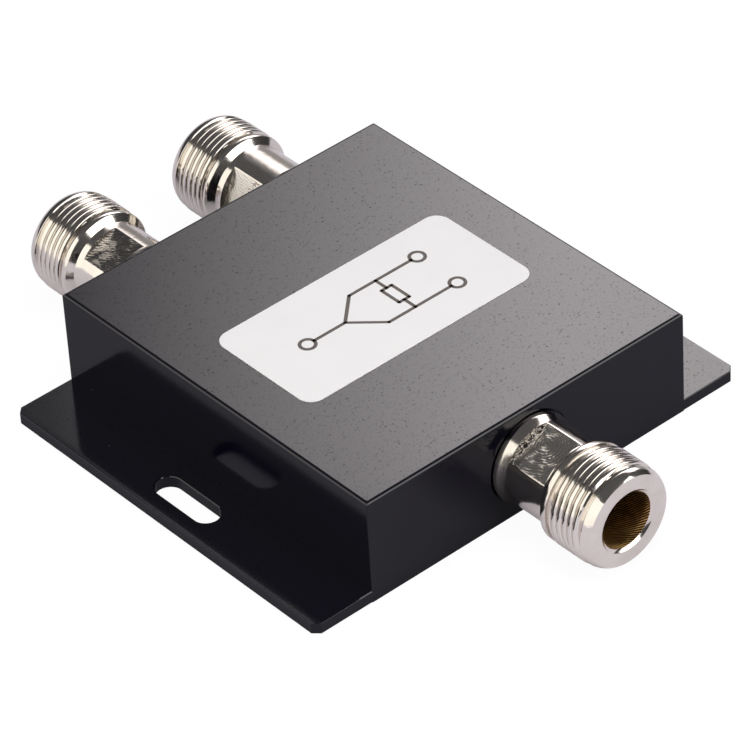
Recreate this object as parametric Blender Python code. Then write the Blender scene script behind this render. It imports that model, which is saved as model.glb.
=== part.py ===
"""Two-way radio-frequency power splitter in a black milled housing with three threaded coaxial sockets.

Units are metres and +Z is up. X runs across the two mounting flanges and Y along the sockets:
the common socket is on the -Y wall and the two outputs are on the +Y wall. The origin is at the
middle of the underside. The housing is milled from one block and is open from below; a let-in
cover closes it. Inside, a circuit board hangs from four posts under the roof, with its copper
track facing down onto the solder tails of the three centre contacts.
"""

from math import cos, pi, radians, sin

import bmesh
import bpy
from mathutils import Matrix, Vector

# Housing, outside
BODY_WIDTH = 0.0595
BODY_LENGTH = 0.0660
BODY_HEIGHT = 0.0175
TOP_EDGE_BEVEL = 0.00045
FLANGE_REACH = 0.01025
FLANGE_THICKNESS = 0.0020
FLANGE_CORNER_CHAMFER = 0.0010

# Slot in each flange, long way along Y
SLOT_WIDTH = 0.0042
SLOT_LENGTH = 0.0125
SLOT_FROM_FLANGE_EDGE = 0.0048

# Pocket, open from below
END_WALL = 0.0055
SIDE_WALL = 0.0030
ROOF = 0.0025
POCKET_CORNER_RADIUS = 0.0030

# Bottom cover, let into a recess round the pocket's mouth
COVER_THICKNESS = 0.0015
COVER_LEDGE = 0.0015
COVER_SINK = 0.0002
COVER_EDGE_CLEARANCE = 0.0002

# Countersunk cover screws, three along each side wall
SCREW_RADIUS = 0.00125
COVER_SCREW_HEAD_RADIUS = 0.00235
COVER_SCREW_HEAD_RIM = 0.0003
COVER_SCREW_LENGTH = 0.0060
SCREW_TIP_CHAMFER = 0.0004
COLUMN_RADIUS = 0.0029
HEX_RADIUS = 0.00090
HEX_DEPTH = 0.0008

# Pan head board screws
BOARD_SCREW_HEAD_RADIUS = 0.00225
BOARD_SCREW_HEAD_HEIGHT = 0.0016
BOARD_SCREW_HEAD_ROUND = 0.00056
BOARD_SCREW_LENGTH = 0.0050
POST_RADIUS = 0.0026
POST_INTO_ROOF = 0.0006

# Circuit board and the copper on it
BOARD_THICKNESS = 0.0016
BOARD_CORNER_RADIUS = 0.0008
BOARD_END_CLEARANCE = 0.0005
BOARD_SIDE_CLEARANCE = 0.0006
BOARD_SCREW_INSET = 0.0032
COPPER_THICKNESS = 0.00007
COPPER_END_SETBACK = 0.0005
LINE_WIDTH = 0.0030
ARM_WIDTH = 0.0016
ARM_PITCH = 0.0045
ARM_TURNS = 5
ARM_INNER = 0.0036
ARM_OUTER_MARGIN = 0.0030
JUNCTION_FROM_BOARD_END = 0.0100
RESISTOR_FROM_LAST_TURN = 0.0065
RESISTOR_OVERLAP = 0.0004
RESISTOR_WIDTH = 0.0032
RESISTOR_THICKNESS = 0.0007
RESISTOR_CAP_LENGTH = 0.0006
RESISTOR_CAP_RISE = 0.00006

# Threaded socket, stations measured outwards from the wall
OUTPUT_FROM_SIDE = 0.01625
FOOT_RADIUS = 0.00715
FOOT_LENGTH = 0.0019
FOOT_CHAMFER = 0.0002
NECK_RADIUS = 0.00667
NECK_LENGTH = 0.0065
CONE_LENGTH = 0.0013
COLLAR_RADIUS = 0.00785
COLLAR_LENGTH = 0.0017
RUNOUT_RADIUS = 0.00730
RUNOUT_LENGTH = 0.0006
THREAD_RADIUS = 0.0079375
THREAD_LENGTH = 0.0053
RELIEF_RADIUS = 0.00720
RELIEF_LENGTH = 0.0010
NOSE_RADIUS = 0.0078
NOSE_LENGTH = 0.00145
FACE_RADIUS = 0.0071
NOSE_ROUND_LENGTH = 0.0007
NOSE_ROUND_STEPS = 3
FLAT_HALF_WIDTH = 0.00528
FLAT_LENGTH = 0.0062
FLAT_FROM_FOOT = 0.0002

# Threaded tail that screws into the wall
TAIL_RADIUS = 0.0055

# Inside of the socket, depths measured inwards from its face
MOUTH_RADIUS = 0.0049
MOUTH_DEPTH = 0.0005
BORE_RADIUS = 0.0041
SHOULDER_DEPTH = 0.0091
LIP_RADIUS = 0.0035
LIP_LENGTH = 0.0015
BEAD_BORE_RADIUS = 0.0039

# Centre contact
CONTACT_RADIUS = 0.00152
CONTACT_BORE_RADIUS = 0.00083
CONTACT_BORE_DEPTH = 0.0045
CONTACT_TIP_DEPTH = 0.0046
CONTACT_TIP_CHAMFER = 0.0002
CONTACT_SLIT = 0.0003
CONTACT_SLIT_LENGTH = 0.0040
CONTACT_SHOULDER_DEPTH = 0.0118
CONTACT_STEM_RADIUS = 0.0010
SOLDER_TAIL_RADIUS = 0.00065
SOLDER_TAIL_REACH = 0.0035

# Sticker on top
LABEL_WIDTH = 0.0427
LABEL_LENGTH = 0.0211
LABEL_OFFSET_Y = -0.0011
LABEL_CORNER_RADIUS = 0.0024
LABEL_THICKNESS = 0.0001

# Clearances between pieces
SEAT_GAP = 0.0003
THREAD_GAP = 0.0002
BEAD_GAP = 0.0002
STEM_GAP = 0.00015
LAYER_GAP = 0.00005
SOLDER_GAP = 0.0001
CUT_MARGIN = 0.0010

# Faceting
SHELL_SEGMENTS = 36
BEAD_SEGMENTS = 24
SCREW_SEGMENTS = 16
CORNER_SEGMENTS = 5
TOP_BEVEL_SEGMENTS = 3
SHARP_ANGLE = radians(30.0)
SAME_PLACE = 1e-6

# Where each socket sits: name, side along X (0 is the middle), wall, angle of its flats
PORTS = (
    ("in", 0, -1, radians(110.0)),
    ("out_left", -1, 1, radians(100.0)),
    ("out_right", 1, 1, radians(156.0)),
)

# Places worked out from the sizes above
AXIS_HEIGHT = BODY_HEIGHT / 2
OUTPUT_X = BODY_WIDTH / 2 - OUTPUT_FROM_SIDE
POCKET_HALF_X = BODY_WIDTH / 2 - SIDE_WALL
POCKET_HALF_Y = BODY_LENGTH / 2 - END_WALL
ROOF_UNDERSIDE = BODY_HEIGHT - ROOF
COVER_TOP = COVER_SINK + COVER_THICKNESS
LEDGE_HEIGHT = COVER_TOP + SEAT_GAP
RECESS_HALF_X = POCKET_HALF_X + COVER_LEDGE
RECESS_HALF_Y = POCKET_HALF_Y + COVER_LEDGE
SCREW_HOLE_RADIUS = SCREW_RADIUS + THREAD_GAP

# The columns reach a little into the walls, so that wall and column are one solid
COLUMN_IN_WALL = 0.0003
COLUMN_X = POCKET_HALF_X + COLUMN_IN_WALL - COLUMN_RADIUS
COLUMN_Y = POCKET_HALF_Y + COLUMN_IN_WALL - COLUMN_RADIUS

COPPER_UNDERSIDE = AXIS_HEIGHT + SOLDER_TAIL_RADIUS + SOLDER_GAP
BOARD_UNDERSIDE = COPPER_UNDERSIDE + COPPER_THICKNESS + LAYER_GAP
BOARD_TOP = BOARD_UNDERSIDE + BOARD_THICKNESS
BOARD_HALF_X = COLUMN_X - COLUMN_RADIUS - BOARD_SIDE_CLEARANCE
BOARD_HALF_Y = POCKET_HALF_Y - BOARD_END_CLEARANCE
BOARD_SCREW_X = BOARD_HALF_X - BOARD_SCREW_INSET
BOARD_SCREW_Y = BOARD_HALF_Y - BOARD_SCREW_INSET

FACE_STATION = (FOOT_LENGTH + NECK_LENGTH + CONE_LENGTH + COLLAR_LENGTH + RUNOUT_LENGTH
                + THREAD_LENGTH + RELIEF_LENGTH + NOSE_LENGTH)
SOCKET_END_DEPTH = FACE_STATION + END_WALL


def clear_scene():
    """Removes what the startup file holds."""
    for item in list(bpy.data.objects):
        bpy.data.objects.remove(item, do_unlink=True)


def material(name, color, roughness, metallic):
    """Returns a Principled material with one colour."""
    made = bpy.data.materials.new(name)
    made.use_nodes = True
    shader = made.node_tree.nodes["Principled BSDF"]
    shader.inputs["Base Color"].default_value = (*color, 1.0)
    shader.inputs["Roughness"].default_value = roughness
    shader.inputs["Metallic"].default_value = metallic
    return made


def add_object(name, bm, finish=None, smooth=True):
    """Turns a bmesh into a named object in the scene."""
    bmesh.ops.recalc_face_normals(bm, faces=bm.faces)
    mesh = bpy.data.meshes.new(name)
    bm.to_mesh(mesh)
    bm.free()
    if smooth:
        mesh.shade_smooth()
        mesh.set_sharp_from_angle(angle=SHARP_ANGLE)
    made = bpy.data.objects.new(name, mesh)
    bpy.context.scene.collection.objects.link(made)
    if finish is not None:
        mesh.materials.append(finish)
    return made


def as_cutter(tool):
    """Marks an object as a tool that shapes another piece and is no piece itself."""
    tool.hide_render = True
    tool.display_type = "WIRE"
    return tool


def apply_tool(target, tool, operation, solver="EXACT"):
    """Adds a Boolean modifier that cuts, joins or intersects target with tool."""
    modifier = target.modifiers.new(tool.name, "BOOLEAN")
    modifier.operation = operation
    modifier.solver = solver
    modifier.object = as_cutter(tool)


def add_prism(bm, outline, low, high):
    """Adds a closed prism to bm: a flat outline of (x, y) points, from height low to high."""
    base = bm.faces.new([bm.verts.new((x, y, low)) for x, y in outline])
    grown = bmesh.ops.extrude_face_region(bm, geom=[base])
    top = [item for item in grown["geom"] if isinstance(item, bmesh.types.BMVert)]
    bmesh.ops.translate(bm, verts=top, vec=(0, 0, high - low))
    return top


def arc(centre, radius, start, sweep, steps):
    """Returns points along an arc, both ends included."""
    return [(centre[0] + radius * cos(start + sweep * i / steps),
             centre[1] + radius * sin(start + sweep * i / steps)) for i in range(steps + 1)]


def rounded_rectangle(half_x, half_y, radius, centre=(0.0, 0.0)):
    """Returns the outline of a rectangle with round corners, counter-clockwise."""
    points = []
    corners = ((1, -1, -pi / 2), (1, 1, 0.0), (-1, 1, pi / 2), (-1, -1, pi))
    for sign_x, sign_y, start in corners:
        middle = (centre[0] + sign_x * (half_x - radius), centre[1] + sign_y * (half_y - radius))
        points += arc(middle, radius, start, pi / 2, CORNER_SEGMENTS)
    return points


def circle(radius, segments, centre=(0.0, 0.0)):
    """Returns a circle's outline, counter-clockwise."""
    return arc(centre, radius, 0.0, 2 * pi, segments)[:-1]


def stadium(width, length, centre):
    """Returns a slot's outline with its long way along Y."""
    radius = width / 2
    reach = length / 2 - radius
    top = arc((centre[0], centre[1] + reach), radius, 0.0, pi, 2 * CORNER_SEGMENTS)
    bottom = arc((centre[0], centre[1] - reach), radius, pi, pi, 2 * CORNER_SEGMENTS)
    return top + bottom


def turn(bm, profile, segments):
    """Spins a closed profile of (radius, height) points once round the Z axis."""
    verts = [bm.verts.new((radius, 0.0, height)) for radius, height in profile]
    pairs = zip(verts, verts[1:] + verts[:1])
    edges = [bm.edges.new(pair) for pair in pairs if pair[0].co.x > 0 or pair[1].co.x > 0]
    bmesh.ops.spin(bm, geom=verts + edges, cent=(0, 0, 0), axis=(0, 0, 1), dvec=(0, 0, 0),
                   angle=2 * pi, steps=segments, use_merge=True)
    bmesh.ops.remove_doubles(bm, verts=bm.verts, dist=SAME_PLACE / 10)


def add_turned(bm, profile, segments, matrix):
    """Adds a turned profile to bm at a place, as one more closed body."""
    body = bmesh.new()
    turn(body, profile, segments)
    body.transform(matrix)
    mesh = bpy.data.meshes.new("turned_body")
    body.to_mesh(mesh)
    body.free()
    bm.from_mesh(mesh)
    bpy.data.meshes.remove(mesh)


def mirrored_places(x, y_values):
    """Returns the places at +x and -x for each y."""
    return [(side * x, y) for side in (-1, 1) for y in y_values]


def cover_screw_places():
    """Returns the axes of the cover screws, three along each side wall."""
    return mirrored_places(COLUMN_X, (-COLUMN_Y, 0.0, COLUMN_Y))


def board_screw_places():
    """Returns the axes of the board screws, one near each corner of the board."""
    return mirrored_places(BOARD_SCREW_X, (-BOARD_SCREW_Y, BOARD_SCREW_Y))


def housing_blank():
    """Builds the outer form: an inverted T section drawn out along Y, with its edges broken."""
    half_body = BODY_WIDTH / 2
    half_flange = half_body + FLANGE_REACH
    half_length = BODY_LENGTH / 2
    section = [(-half_flange, 0.0), (half_flange, 0.0), (half_flange, FLANGE_THICKNESS),
               (half_body, FLANGE_THICKNESS), (half_body, BODY_HEIGHT), (-half_body, BODY_HEIGHT),
               (-half_body, FLANGE_THICKNESS), (-half_flange, FLANGE_THICKNESS)]
    bm = bmesh.new()
    add_prism(bm, section, -half_length, half_length)
    bm.transform(Matrix.Rotation(pi / 2, 4, "X"))
    bmesh.ops.recalc_face_normals(bm, faces=bm.faces)

    def lies_on_top(edge):
        return all(abs(vert.co.z - BODY_HEIGHT) < SAME_PLACE for vert in edge.verts)

    def is_flange_corner(edge):
        first, second = edge.verts
        upright = abs(first.co.x - second.co.x) + abs(first.co.y - second.co.y) < SAME_PLACE
        return upright and abs(abs(first.co.x) - half_flange) < SAME_PLACE

    top = [edge for edge in bm.edges if lies_on_top(edge)]
    bmesh.ops.bevel(bm, geom=top, offset=TOP_EDGE_BEVEL, offset_type="OFFSET",
                    segments=TOP_BEVEL_SEGMENTS, profile=0.5, affect="EDGES", clamp_overlap=True)
    corners = [edge for edge in bm.edges if is_flange_corner(edge)]
    bmesh.ops.bevel(bm, geom=corners, offset=FLANGE_CORNER_CHAMFER, offset_type="OFFSET", segments=1,
                    profile=0.5, affect="EDGES", clamp_overlap=True)
    return bm


def pocket_tool():
    """Builds the cutter of the pocket, open from below."""
    bm = bmesh.new()
    pocket = rounded_rectangle(POCKET_HALF_X, POCKET_HALF_Y, POCKET_CORNER_RADIUS)
    add_prism(bm, pocket, -CUT_MARGIN, ROOF_UNDERSIDE)
    return add_object("pocket_cutter", bm, smooth=False)


def recess_tool():
    """Builds the cutter of the recess that the bottom cover drops into."""
    bm = bmesh.new()
    radius = POCKET_CORNER_RADIUS + COVER_LEDGE
    recess = rounded_rectangle(RECESS_HALF_X, RECESS_HALF_Y, radius)
    add_prism(bm, recess, -CUT_MARGIN, LEDGE_HEIGHT)
    return add_object("recess_cutter", bm, smooth=False)


def column_tool():
    """Builds the screw columns beside the walls and the board posts under the roof."""
    bm = bmesh.new()
    into_roof = ROOF_UNDERSIDE + POST_INTO_ROOF
    for place in cover_screw_places():
        add_prism(bm, circle(COLUMN_RADIUS, SCREW_SEGMENTS, place), LEDGE_HEIGHT, into_roof)
    for place in board_screw_places():
        add_prism(bm, circle(POST_RADIUS, SCREW_SEGMENTS, place), BOARD_TOP + SEAT_GAP, into_roof)
    return add_object("column_form", bm, smooth=False)


def hole_tool():
    """Builds the upright cutters: tapped holes of both kinds of screw and the flange slots."""
    bm = bmesh.new()
    cover_hole_top = COVER_SINK + COVER_SCREW_LENGTH + CUT_MARGIN
    for place in cover_screw_places():
        hole = circle(SCREW_HOLE_RADIUS, SCREW_SEGMENTS, place)
        add_prism(bm, hole, LEDGE_HEIGHT - CUT_MARGIN, cover_hole_top)
    board_hole_top = BOARD_UNDERSIDE + BOARD_SCREW_LENGTH
    for place in board_screw_places():
        hole = circle(SCREW_HOLE_RADIUS, SCREW_SEGMENTS, place)
        add_prism(bm, hole, BOARD_TOP - CUT_MARGIN, board_hole_top)
    slot_x = BODY_WIDTH / 2 + FLANGE_REACH - SLOT_FROM_FLANGE_EDGE
    for side in (-1, 1):
        outline = stadium(SLOT_WIDTH, SLOT_LENGTH, (side * slot_x, 0.0))
        add_prism(bm, outline, -CUT_MARGIN, FLANGE_THICKNESS + CUT_MARGIN)
    return add_object("hole_cutter", bm, smooth=False)


def port_tool():
    """Builds the socket holes: a tapped hole through the wall and a shallow spot face outside."""
    inner = TAIL_RADIUS + THREAD_GAP
    outer = FOOT_RADIUS + THREAD_GAP
    low = -END_WALL - CUT_MARGIN
    profile = [(0.0, low), (inner, low), (inner, -SEAT_GAP), (outer, -SEAT_GAP), (outer, CUT_MARGIN),
               (0.0, CUT_MARGIN)]
    bm = bmesh.new()
    for _, column, side, _ in PORTS:
        add_turned(bm, profile, SHELL_SEGMENTS, port_matrix(column, side))
    return add_object("port_cutter", bm, smooth=False)


def port_matrix(column, side):
    """Returns the place of a socket: its local +Z points out of the wall, from the wall's face."""
    place = Vector((column * OUTPUT_X, side * BODY_LENGTH / 2, AXIS_HEIGHT))
    turned = Matrix.Rotation(pi / 2, 4, "X")
    if side > 0:
        turned = Matrix.Rotation(pi, 4, "Z") @ turned
    return Matrix.Translation(place) @ turned


def build_housing(finish):
    """Builds the one-piece housing with flanges, pocket, columns, posts, holes and slots."""
    housing = add_object("housing", housing_blank(), finish)
    apply_tool(housing, pocket_tool(), "DIFFERENCE")
    apply_tool(housing, recess_tool(), "DIFFERENCE")
    apply_tool(housing, column_tool(), "UNION")
    apply_tool(housing, hole_tool(), "DIFFERENCE")
    apply_tool(housing, port_tool(), "DIFFERENCE")


def countersink_profile(growth):
    """Returns the head and shank of a countersunk screw, or of its clearance with growth added."""
    head = COVER_SCREW_HEAD_RADIUS + growth
    shank = SCREW_RADIUS + growth
    return head, shank, head - shank


def build_cover(finish):
    """Builds the let-in bottom cover with its countersunk holes."""
    bm = bmesh.new()
    edge = COVER_EDGE_CLEARANCE
    radius = POCKET_CORNER_RADIUS + COVER_LEDGE - edge
    outline = rounded_rectangle(RECESS_HALF_X - edge, RECESS_HALF_Y - edge, radius)
    add_prism(bm, outline, COVER_SINK, COVER_TOP)
    cover = add_object("bottom_cover", bm, finish, smooth=False)

    cuts = bmesh.new()
    head, shank, slope = countersink_profile(THREAD_GAP)
    rim = COVER_SINK + COVER_SCREW_HEAD_RIM
    low = COVER_SINK - CUT_MARGIN
    high = COVER_TOP + slope + CUT_MARGIN
    profile = [(0.0, low), (head, low), (head, rim), (shank, rim + slope), (shank, high), (0.0, high)]
    for x, y in cover_screw_places():
        add_turned(cuts, profile, SCREW_SEGMENTS, Matrix.Translation((x, y, 0.0)))
    apply_tool(cover, add_object("countersink_cutter", cuts, smooth=False), "DIFFERENCE")


def hex_cutter(name):
    """Builds the cutter of a screw's hexagon socket, with its floor at the origin and opening down."""
    bm = bmesh.new()
    add_prism(bm, circle(HEX_RADIUS, 6), -HEX_DEPTH - CUT_MARGIN, 0.0)
    return add_object(name, bm, smooth=False)


def build_cover_screws(finish):
    """Builds the six countersunk screws that hold the cover."""
    head, shank, slope = countersink_profile(0.0)
    tip = COVER_SCREW_LENGTH
    profile = [(0.0, 0.0), (head, 0.0), (head, COVER_SCREW_HEAD_RIM), (shank, COVER_SCREW_HEAD_RIM + slope),
               (shank, tip - SCREW_TIP_CHAMFER), (shank - SCREW_TIP_CHAMFER, tip), (0.0, tip)]
    for number, (x, y) in enumerate(cover_screw_places(), start=1):
        bm = bmesh.new()
        turn(bm, profile, SCREW_SEGMENTS)
        screw = add_object(f"cover_screw_{number}", bm, finish)
        screw.location = (x, y, COVER_SINK)
        socket = hex_cutter(f"cover_screw_socket_{number}")
        socket.location = (x, y, COVER_SINK + HEX_DEPTH)
        apply_tool(screw, socket, "DIFFERENCE")


def build_board_screws(finish):
    """Builds the four pan head screws that hold the board against its posts."""
    head = BOARD_SCREW_HEAD_RADIUS
    dome = BOARD_SCREW_HEAD_ROUND
    profile = [(0.0, -BOARD_SCREW_HEAD_HEIGHT), (head - dome, -BOARD_SCREW_HEAD_HEIGHT),
               (head, dome - BOARD_SCREW_HEAD_HEIGHT), (head, 0.0), (SCREW_RADIUS, 0.0),
               (SCREW_RADIUS, BOARD_SCREW_LENGTH - SCREW_TIP_CHAMFER),
               (SCREW_RADIUS - SCREW_TIP_CHAMFER, BOARD_SCREW_LENGTH), (0.0, BOARD_SCREW_LENGTH)]
    for number, (x, y) in enumerate(board_screw_places(), start=1):
        bm = bmesh.new()
        turn(bm, profile, SCREW_SEGMENTS)
        screw = add_object(f"board_screw_{number}", bm, finish)
        screw.location = (x, y, BOARD_UNDERSIDE - SEAT_GAP)
        socket = hex_cutter(f"board_screw_socket_{number}")
        socket.location = (x, y, BOARD_UNDERSIDE - SEAT_GAP - BOARD_SCREW_HEAD_HEIGHT + HEX_DEPTH)
        apply_tool(screw, socket, "DIFFERENCE")


def shell_profile():
    """Returns the turned section of a socket shell, outside first, then the bore back to the tail."""
    stations = []
    height = 0.0

    def step(radius, length, end_radius=None):
        nonlocal height
        stations.append((radius, height))
        height += length
        stations.append((radius if end_radius is None else end_radius, height))

    step(FOOT_RADIUS, FOOT_LENGTH - FOOT_CHAMFER)
    step(FOOT_RADIUS, FOOT_CHAMFER, FOOT_RADIUS - FOOT_CHAMFER)
    step(NECK_RADIUS, NECK_LENGTH)
    step(NECK_RADIUS, CONE_LENGTH, COLLAR_RADIUS)
    step(COLLAR_RADIUS, COLLAR_LENGTH)
    step(RUNOUT_RADIUS, RUNOUT_LENGTH)
    step(THREAD_RADIUS, THREAD_LENGTH)
    step(RELIEF_RADIUS, RELIEF_LENGTH)
    step(NOSE_RADIUS, NOSE_LENGTH - NOSE_ROUND_LENGTH)
    for turned in range(1, NOSE_ROUND_STEPS + 1):
        angle = pi / 2 * turned / NOSE_ROUND_STEPS
        stations.append((FACE_RADIUS + (NOSE_RADIUS - FACE_RADIUS) * cos(angle),
                         height + NOSE_ROUND_LENGTH * sin(angle)))
    outside = [stations[0]]
    for point in stations[1:]:
        if point != outside[-1]:
            outside.append(point)

    face = FACE_STATION
    back = face - SOCKET_END_DEPTH
    inside = [(MOUTH_RADIUS, face), (BORE_RADIUS, face - MOUTH_DEPTH),
              (BORE_RADIUS, face - SHOULDER_DEPTH), (LIP_RADIUS, face - SHOULDER_DEPTH),
              (LIP_RADIUS, face - SHOULDER_DEPTH - LIP_LENGTH),
              (BEAD_BORE_RADIUS, face - SHOULDER_DEPTH - LIP_LENGTH), (BEAD_BORE_RADIUS, back)]
    tail = [(TAIL_RADIUS, back), (TAIL_RADIUS, 0.0)]
    return outside + inside + tail


def flat_tool(name, matrix, angle, side):
    """Builds the two blocks that mill opposite wrench flats across the neck."""
    bm = bmesh.new()
    low = FOOT_LENGTH + FLAT_FROM_FOOT
    reach = COLLAR_RADIUS - FLAT_HALF_WIDTH
    for way in (-1, 1):
        near = way * FLAT_HALF_WIDTH
        far = way * (FLAT_HALF_WIDTH + reach)
        block = [(near, -COLLAR_RADIUS), (far, -COLLAR_RADIUS), (far, COLLAR_RADIUS), (near, COLLAR_RADIUS)]
        add_prism(bm, block, low, low + FLAT_LENGTH)
    local_angle = angle if side < 0 else pi - angle
    bm.transform(matrix @ Matrix.Rotation(local_angle, 4, "Z"))
    return add_object(name, bm, smooth=False)


def contact_profile():
    """Returns the turned section of a centre contact, as heights from the wall's face."""
    tip = FACE_STATION - CONTACT_TIP_DEPTH
    bore_floor = tip - CONTACT_BORE_DEPTH
    shoulder = FACE_STATION - CONTACT_SHOULDER_DEPTH
    back = -END_WALL
    return [(0.0, bore_floor), (CONTACT_BORE_RADIUS, bore_floor),
            (CONTACT_BORE_RADIUS, tip - CONTACT_TIP_CHAMFER),
            (CONTACT_BORE_RADIUS + CONTACT_TIP_CHAMFER, tip), (CONTACT_RADIUS - CONTACT_TIP_CHAMFER, tip),
            (CONTACT_RADIUS, tip - CONTACT_TIP_CHAMFER), (CONTACT_RADIUS, shoulder),
            (CONTACT_STEM_RADIUS, shoulder), (CONTACT_STEM_RADIUS, back), (SOLDER_TAIL_RADIUS, back),
            (SOLDER_TAIL_RADIUS, back - SOLDER_TAIL_REACH), (0.0, back - SOLDER_TAIL_REACH)]


def bead_profile():
    """Returns the turned section of the insulating bead that holds the contact."""
    front = FACE_STATION - SHOULDER_DEPTH - BEAD_GAP
    lip_back = FACE_STATION - SHOULDER_DEPTH - LIP_LENGTH - SEAT_GAP
    contact_seat = FACE_STATION - CONTACT_SHOULDER_DEPTH - SEAT_GAP
    back = -END_WALL
    lip = LIP_RADIUS - BEAD_GAP
    body = BEAD_BORE_RADIUS - BEAD_GAP
    hole = CONTACT_RADIUS + STEM_GAP
    stem_hole = CONTACT_STEM_RADIUS + STEM_GAP
    return [(hole, front), (lip, front), (lip, lip_back), (body, lip_back), (body, back),
            (stem_hole, back), (stem_hole, contact_seat), (hole, contact_seat)]


def slit_tool(name, matrix):
    """Builds the crossed blades that slit the contact into four springing fingers."""
    tip = FACE_STATION - CONTACT_TIP_DEPTH
    half = CONTACT_SLIT / 2
    reach = CONTACT_RADIUS + CUT_MARGIN
    cross = [(half, half), (half, reach), (-half, reach), (-half, half), (-reach, half), (-reach, -half),
             (-half, -half), (-half, -reach), (half, -reach), (half, -half), (reach, -half), (reach, half)]
    bm = bmesh.new()
    add_prism(bm, cross, tip - CONTACT_SLIT_LENGTH, tip + CUT_MARGIN)
    bm.transform(matrix @ Matrix.Rotation(pi / 4, 4, "Z"))
    return add_object(name, bm, smooth=False)


def build_port(name, column, side, flat_angle, finishes):
    """Builds one socket: its shell, the insulating bead and the centre contact, on one empty."""
    anchor = bpy.data.objects.new(f"port_{name}", None)
    matrix = port_matrix(column, side)
    anchor.matrix_world = matrix
    bpy.context.scene.collection.objects.link(anchor)

    pieces = {"connector": (shell_profile(), SHELL_SEGMENTS), "insulator": (bead_profile(), BEAD_SEGMENTS),
              "contact": (contact_profile(), BEAD_SEGMENTS)}
    made = {}
    for kind, (profile, segments) in pieces.items():
        bm = bmesh.new()
        turn(bm, profile, segments)
        made[kind] = add_object(f"{kind}_{name}", bm, finishes[kind])
        made[kind].parent = anchor
    apply_tool(made["connector"], flat_tool(f"flat_cutter_{name}", matrix, flat_angle, side), "DIFFERENCE")
    apply_tool(made["contact"], slit_tool(f"slit_cutter_{name}", matrix), "DIFFERENCE")


def build_board(finish):
    """Builds the circuit board with its screw holes."""
    bm = bmesh.new()
    outline = rounded_rectangle(BOARD_HALF_X, BOARD_HALF_Y, BOARD_CORNER_RADIUS)
    add_prism(bm, outline, BOARD_UNDERSIDE, BOARD_TOP)
    board = add_object("circuit_board", bm, finish, smooth=False)
    holes = bmesh.new()
    for place in board_screw_places():
        add_prism(holes, circle(SCREW_HOLE_RADIUS, SCREW_SEGMENTS, place),
                  BOARD_UNDERSIDE - CUT_MARGIN, BOARD_TOP + CUT_MARGIN)
    apply_tool(board, add_object("board_hole_cutter", holes, smooth=False), "DIFFERENCE")


def arm_route():
    """Returns the right arm's centre line, from the junction to the end of its last turn."""
    outer = BOARD_HALF_X - ARM_OUTER_MARGIN
    y = JUNCTION_FROM_BOARD_END - BOARD_HALF_Y
    route = [(0.0, y), (outer, y)]
    for turn_number in range(ARM_TURNS):
        y += ARM_PITCH
        near, far = (outer, ARM_INNER) if turn_number % 2 == 0 else (ARM_INNER, outer)
        route += [(near, y), (far, y)]
    return route


def resistor_y():
    """Returns where the resistor bridges the two arms."""
    return arm_route()[-1][1] + RESISTOR_FROM_LAST_TURN


def side_points(route, widths, side):
    """Returns the corner points along one side of a right-angled track; side is 1 left, -1 right."""
    points = []
    for index, (x, y) in enumerate(route):
        before = route[max(index - 1, 0)]
        after = route[min(index + 1, len(route) - 1)]
        offset = Vector((0.0, 0.0))
        legs = []
        if index > 0:
            legs.append((Vector((x, y)) - Vector(before), widths[index - 1]))
        if index < len(route) - 1:
            legs.append((Vector(after) - Vector((x, y)), widths[index]))
        for leg, width in legs:
            normal = Vector((-leg.y, leg.x)).normalized() * (side * width / 2)
            offset = offset + normal
        points.append((x + offset.x, y + offset.y))
    return points


def copper_outline():
    """Returns the outline of the copper: input line, two folded arms and two output lines."""
    arm = arm_route()
    bridge_y = resistor_y()
    line_end = BOARD_HALF_Y - COPPER_END_SETBACK
    route = arm + [(ARM_INNER, bridge_y), (OUTPUT_X, bridge_y), (OUTPUT_X, line_end)]
    widths = [ARM_WIDTH] * len(arm) + [LINE_WIDTH] * 2
    inner = side_points(route, widths, 1)
    outer = side_points(route, widths, -1)
    mirrored_inner = [(-x, y) for x, y in inner]
    mirrored_outer = [(-x, y) for x, y in outer]
    half_line = LINE_WIDTH / 2
    junction = outer[0][1]
    stub = [(-half_line, junction), (-half_line, -line_end), (half_line, -line_end), (half_line, junction)]
    return stub + outer[1:] + inner[::-1] + mirrored_inner[1:] + mirrored_outer[:0:-1]


def build_copper(finish):
    """Builds the copper track on the board's underside as one flat solid."""
    bm = bmesh.new()
    add_prism(bm, copper_outline(), COPPER_UNDERSIDE, COPPER_UNDERSIDE + COPPER_THICKNESS)
    add_object("copper_track", bm, finish, smooth=False)


def build_resistor(finish):
    """Builds the chip resistor that bridges the two arms, with a metal cap at each end."""
    half_length = ARM_INNER - ARM_WIDTH / 2 + RESISTOR_OVERLAP
    cap = half_length - RESISTOR_CAP_LENGTH
    top = COPPER_UNDERSIDE - SOLDER_GAP
    low = top - RESISTOR_THICKNESS
    rise = RESISTOR_CAP_RISE
    section = [(-half_length, low), (-cap, low), (-cap, low + rise), (cap, low + rise), (cap, low),
               (half_length, low), (half_length, top), (cap, top), (cap, top - rise), (-cap, top - rise),
               (-cap, top), (-half_length, top)]
    bm = bmesh.new()
    add_prism(bm, section, -RESISTOR_WIDTH / 2, RESISTOR_WIDTH / 2)
    bm.transform(Matrix.Translation((0.0, resistor_y(), 0.0)) @ Matrix.Rotation(pi / 2, 4, "X"))
    add_object("isolation_resistor", bm, finish, smooth=False)


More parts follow.
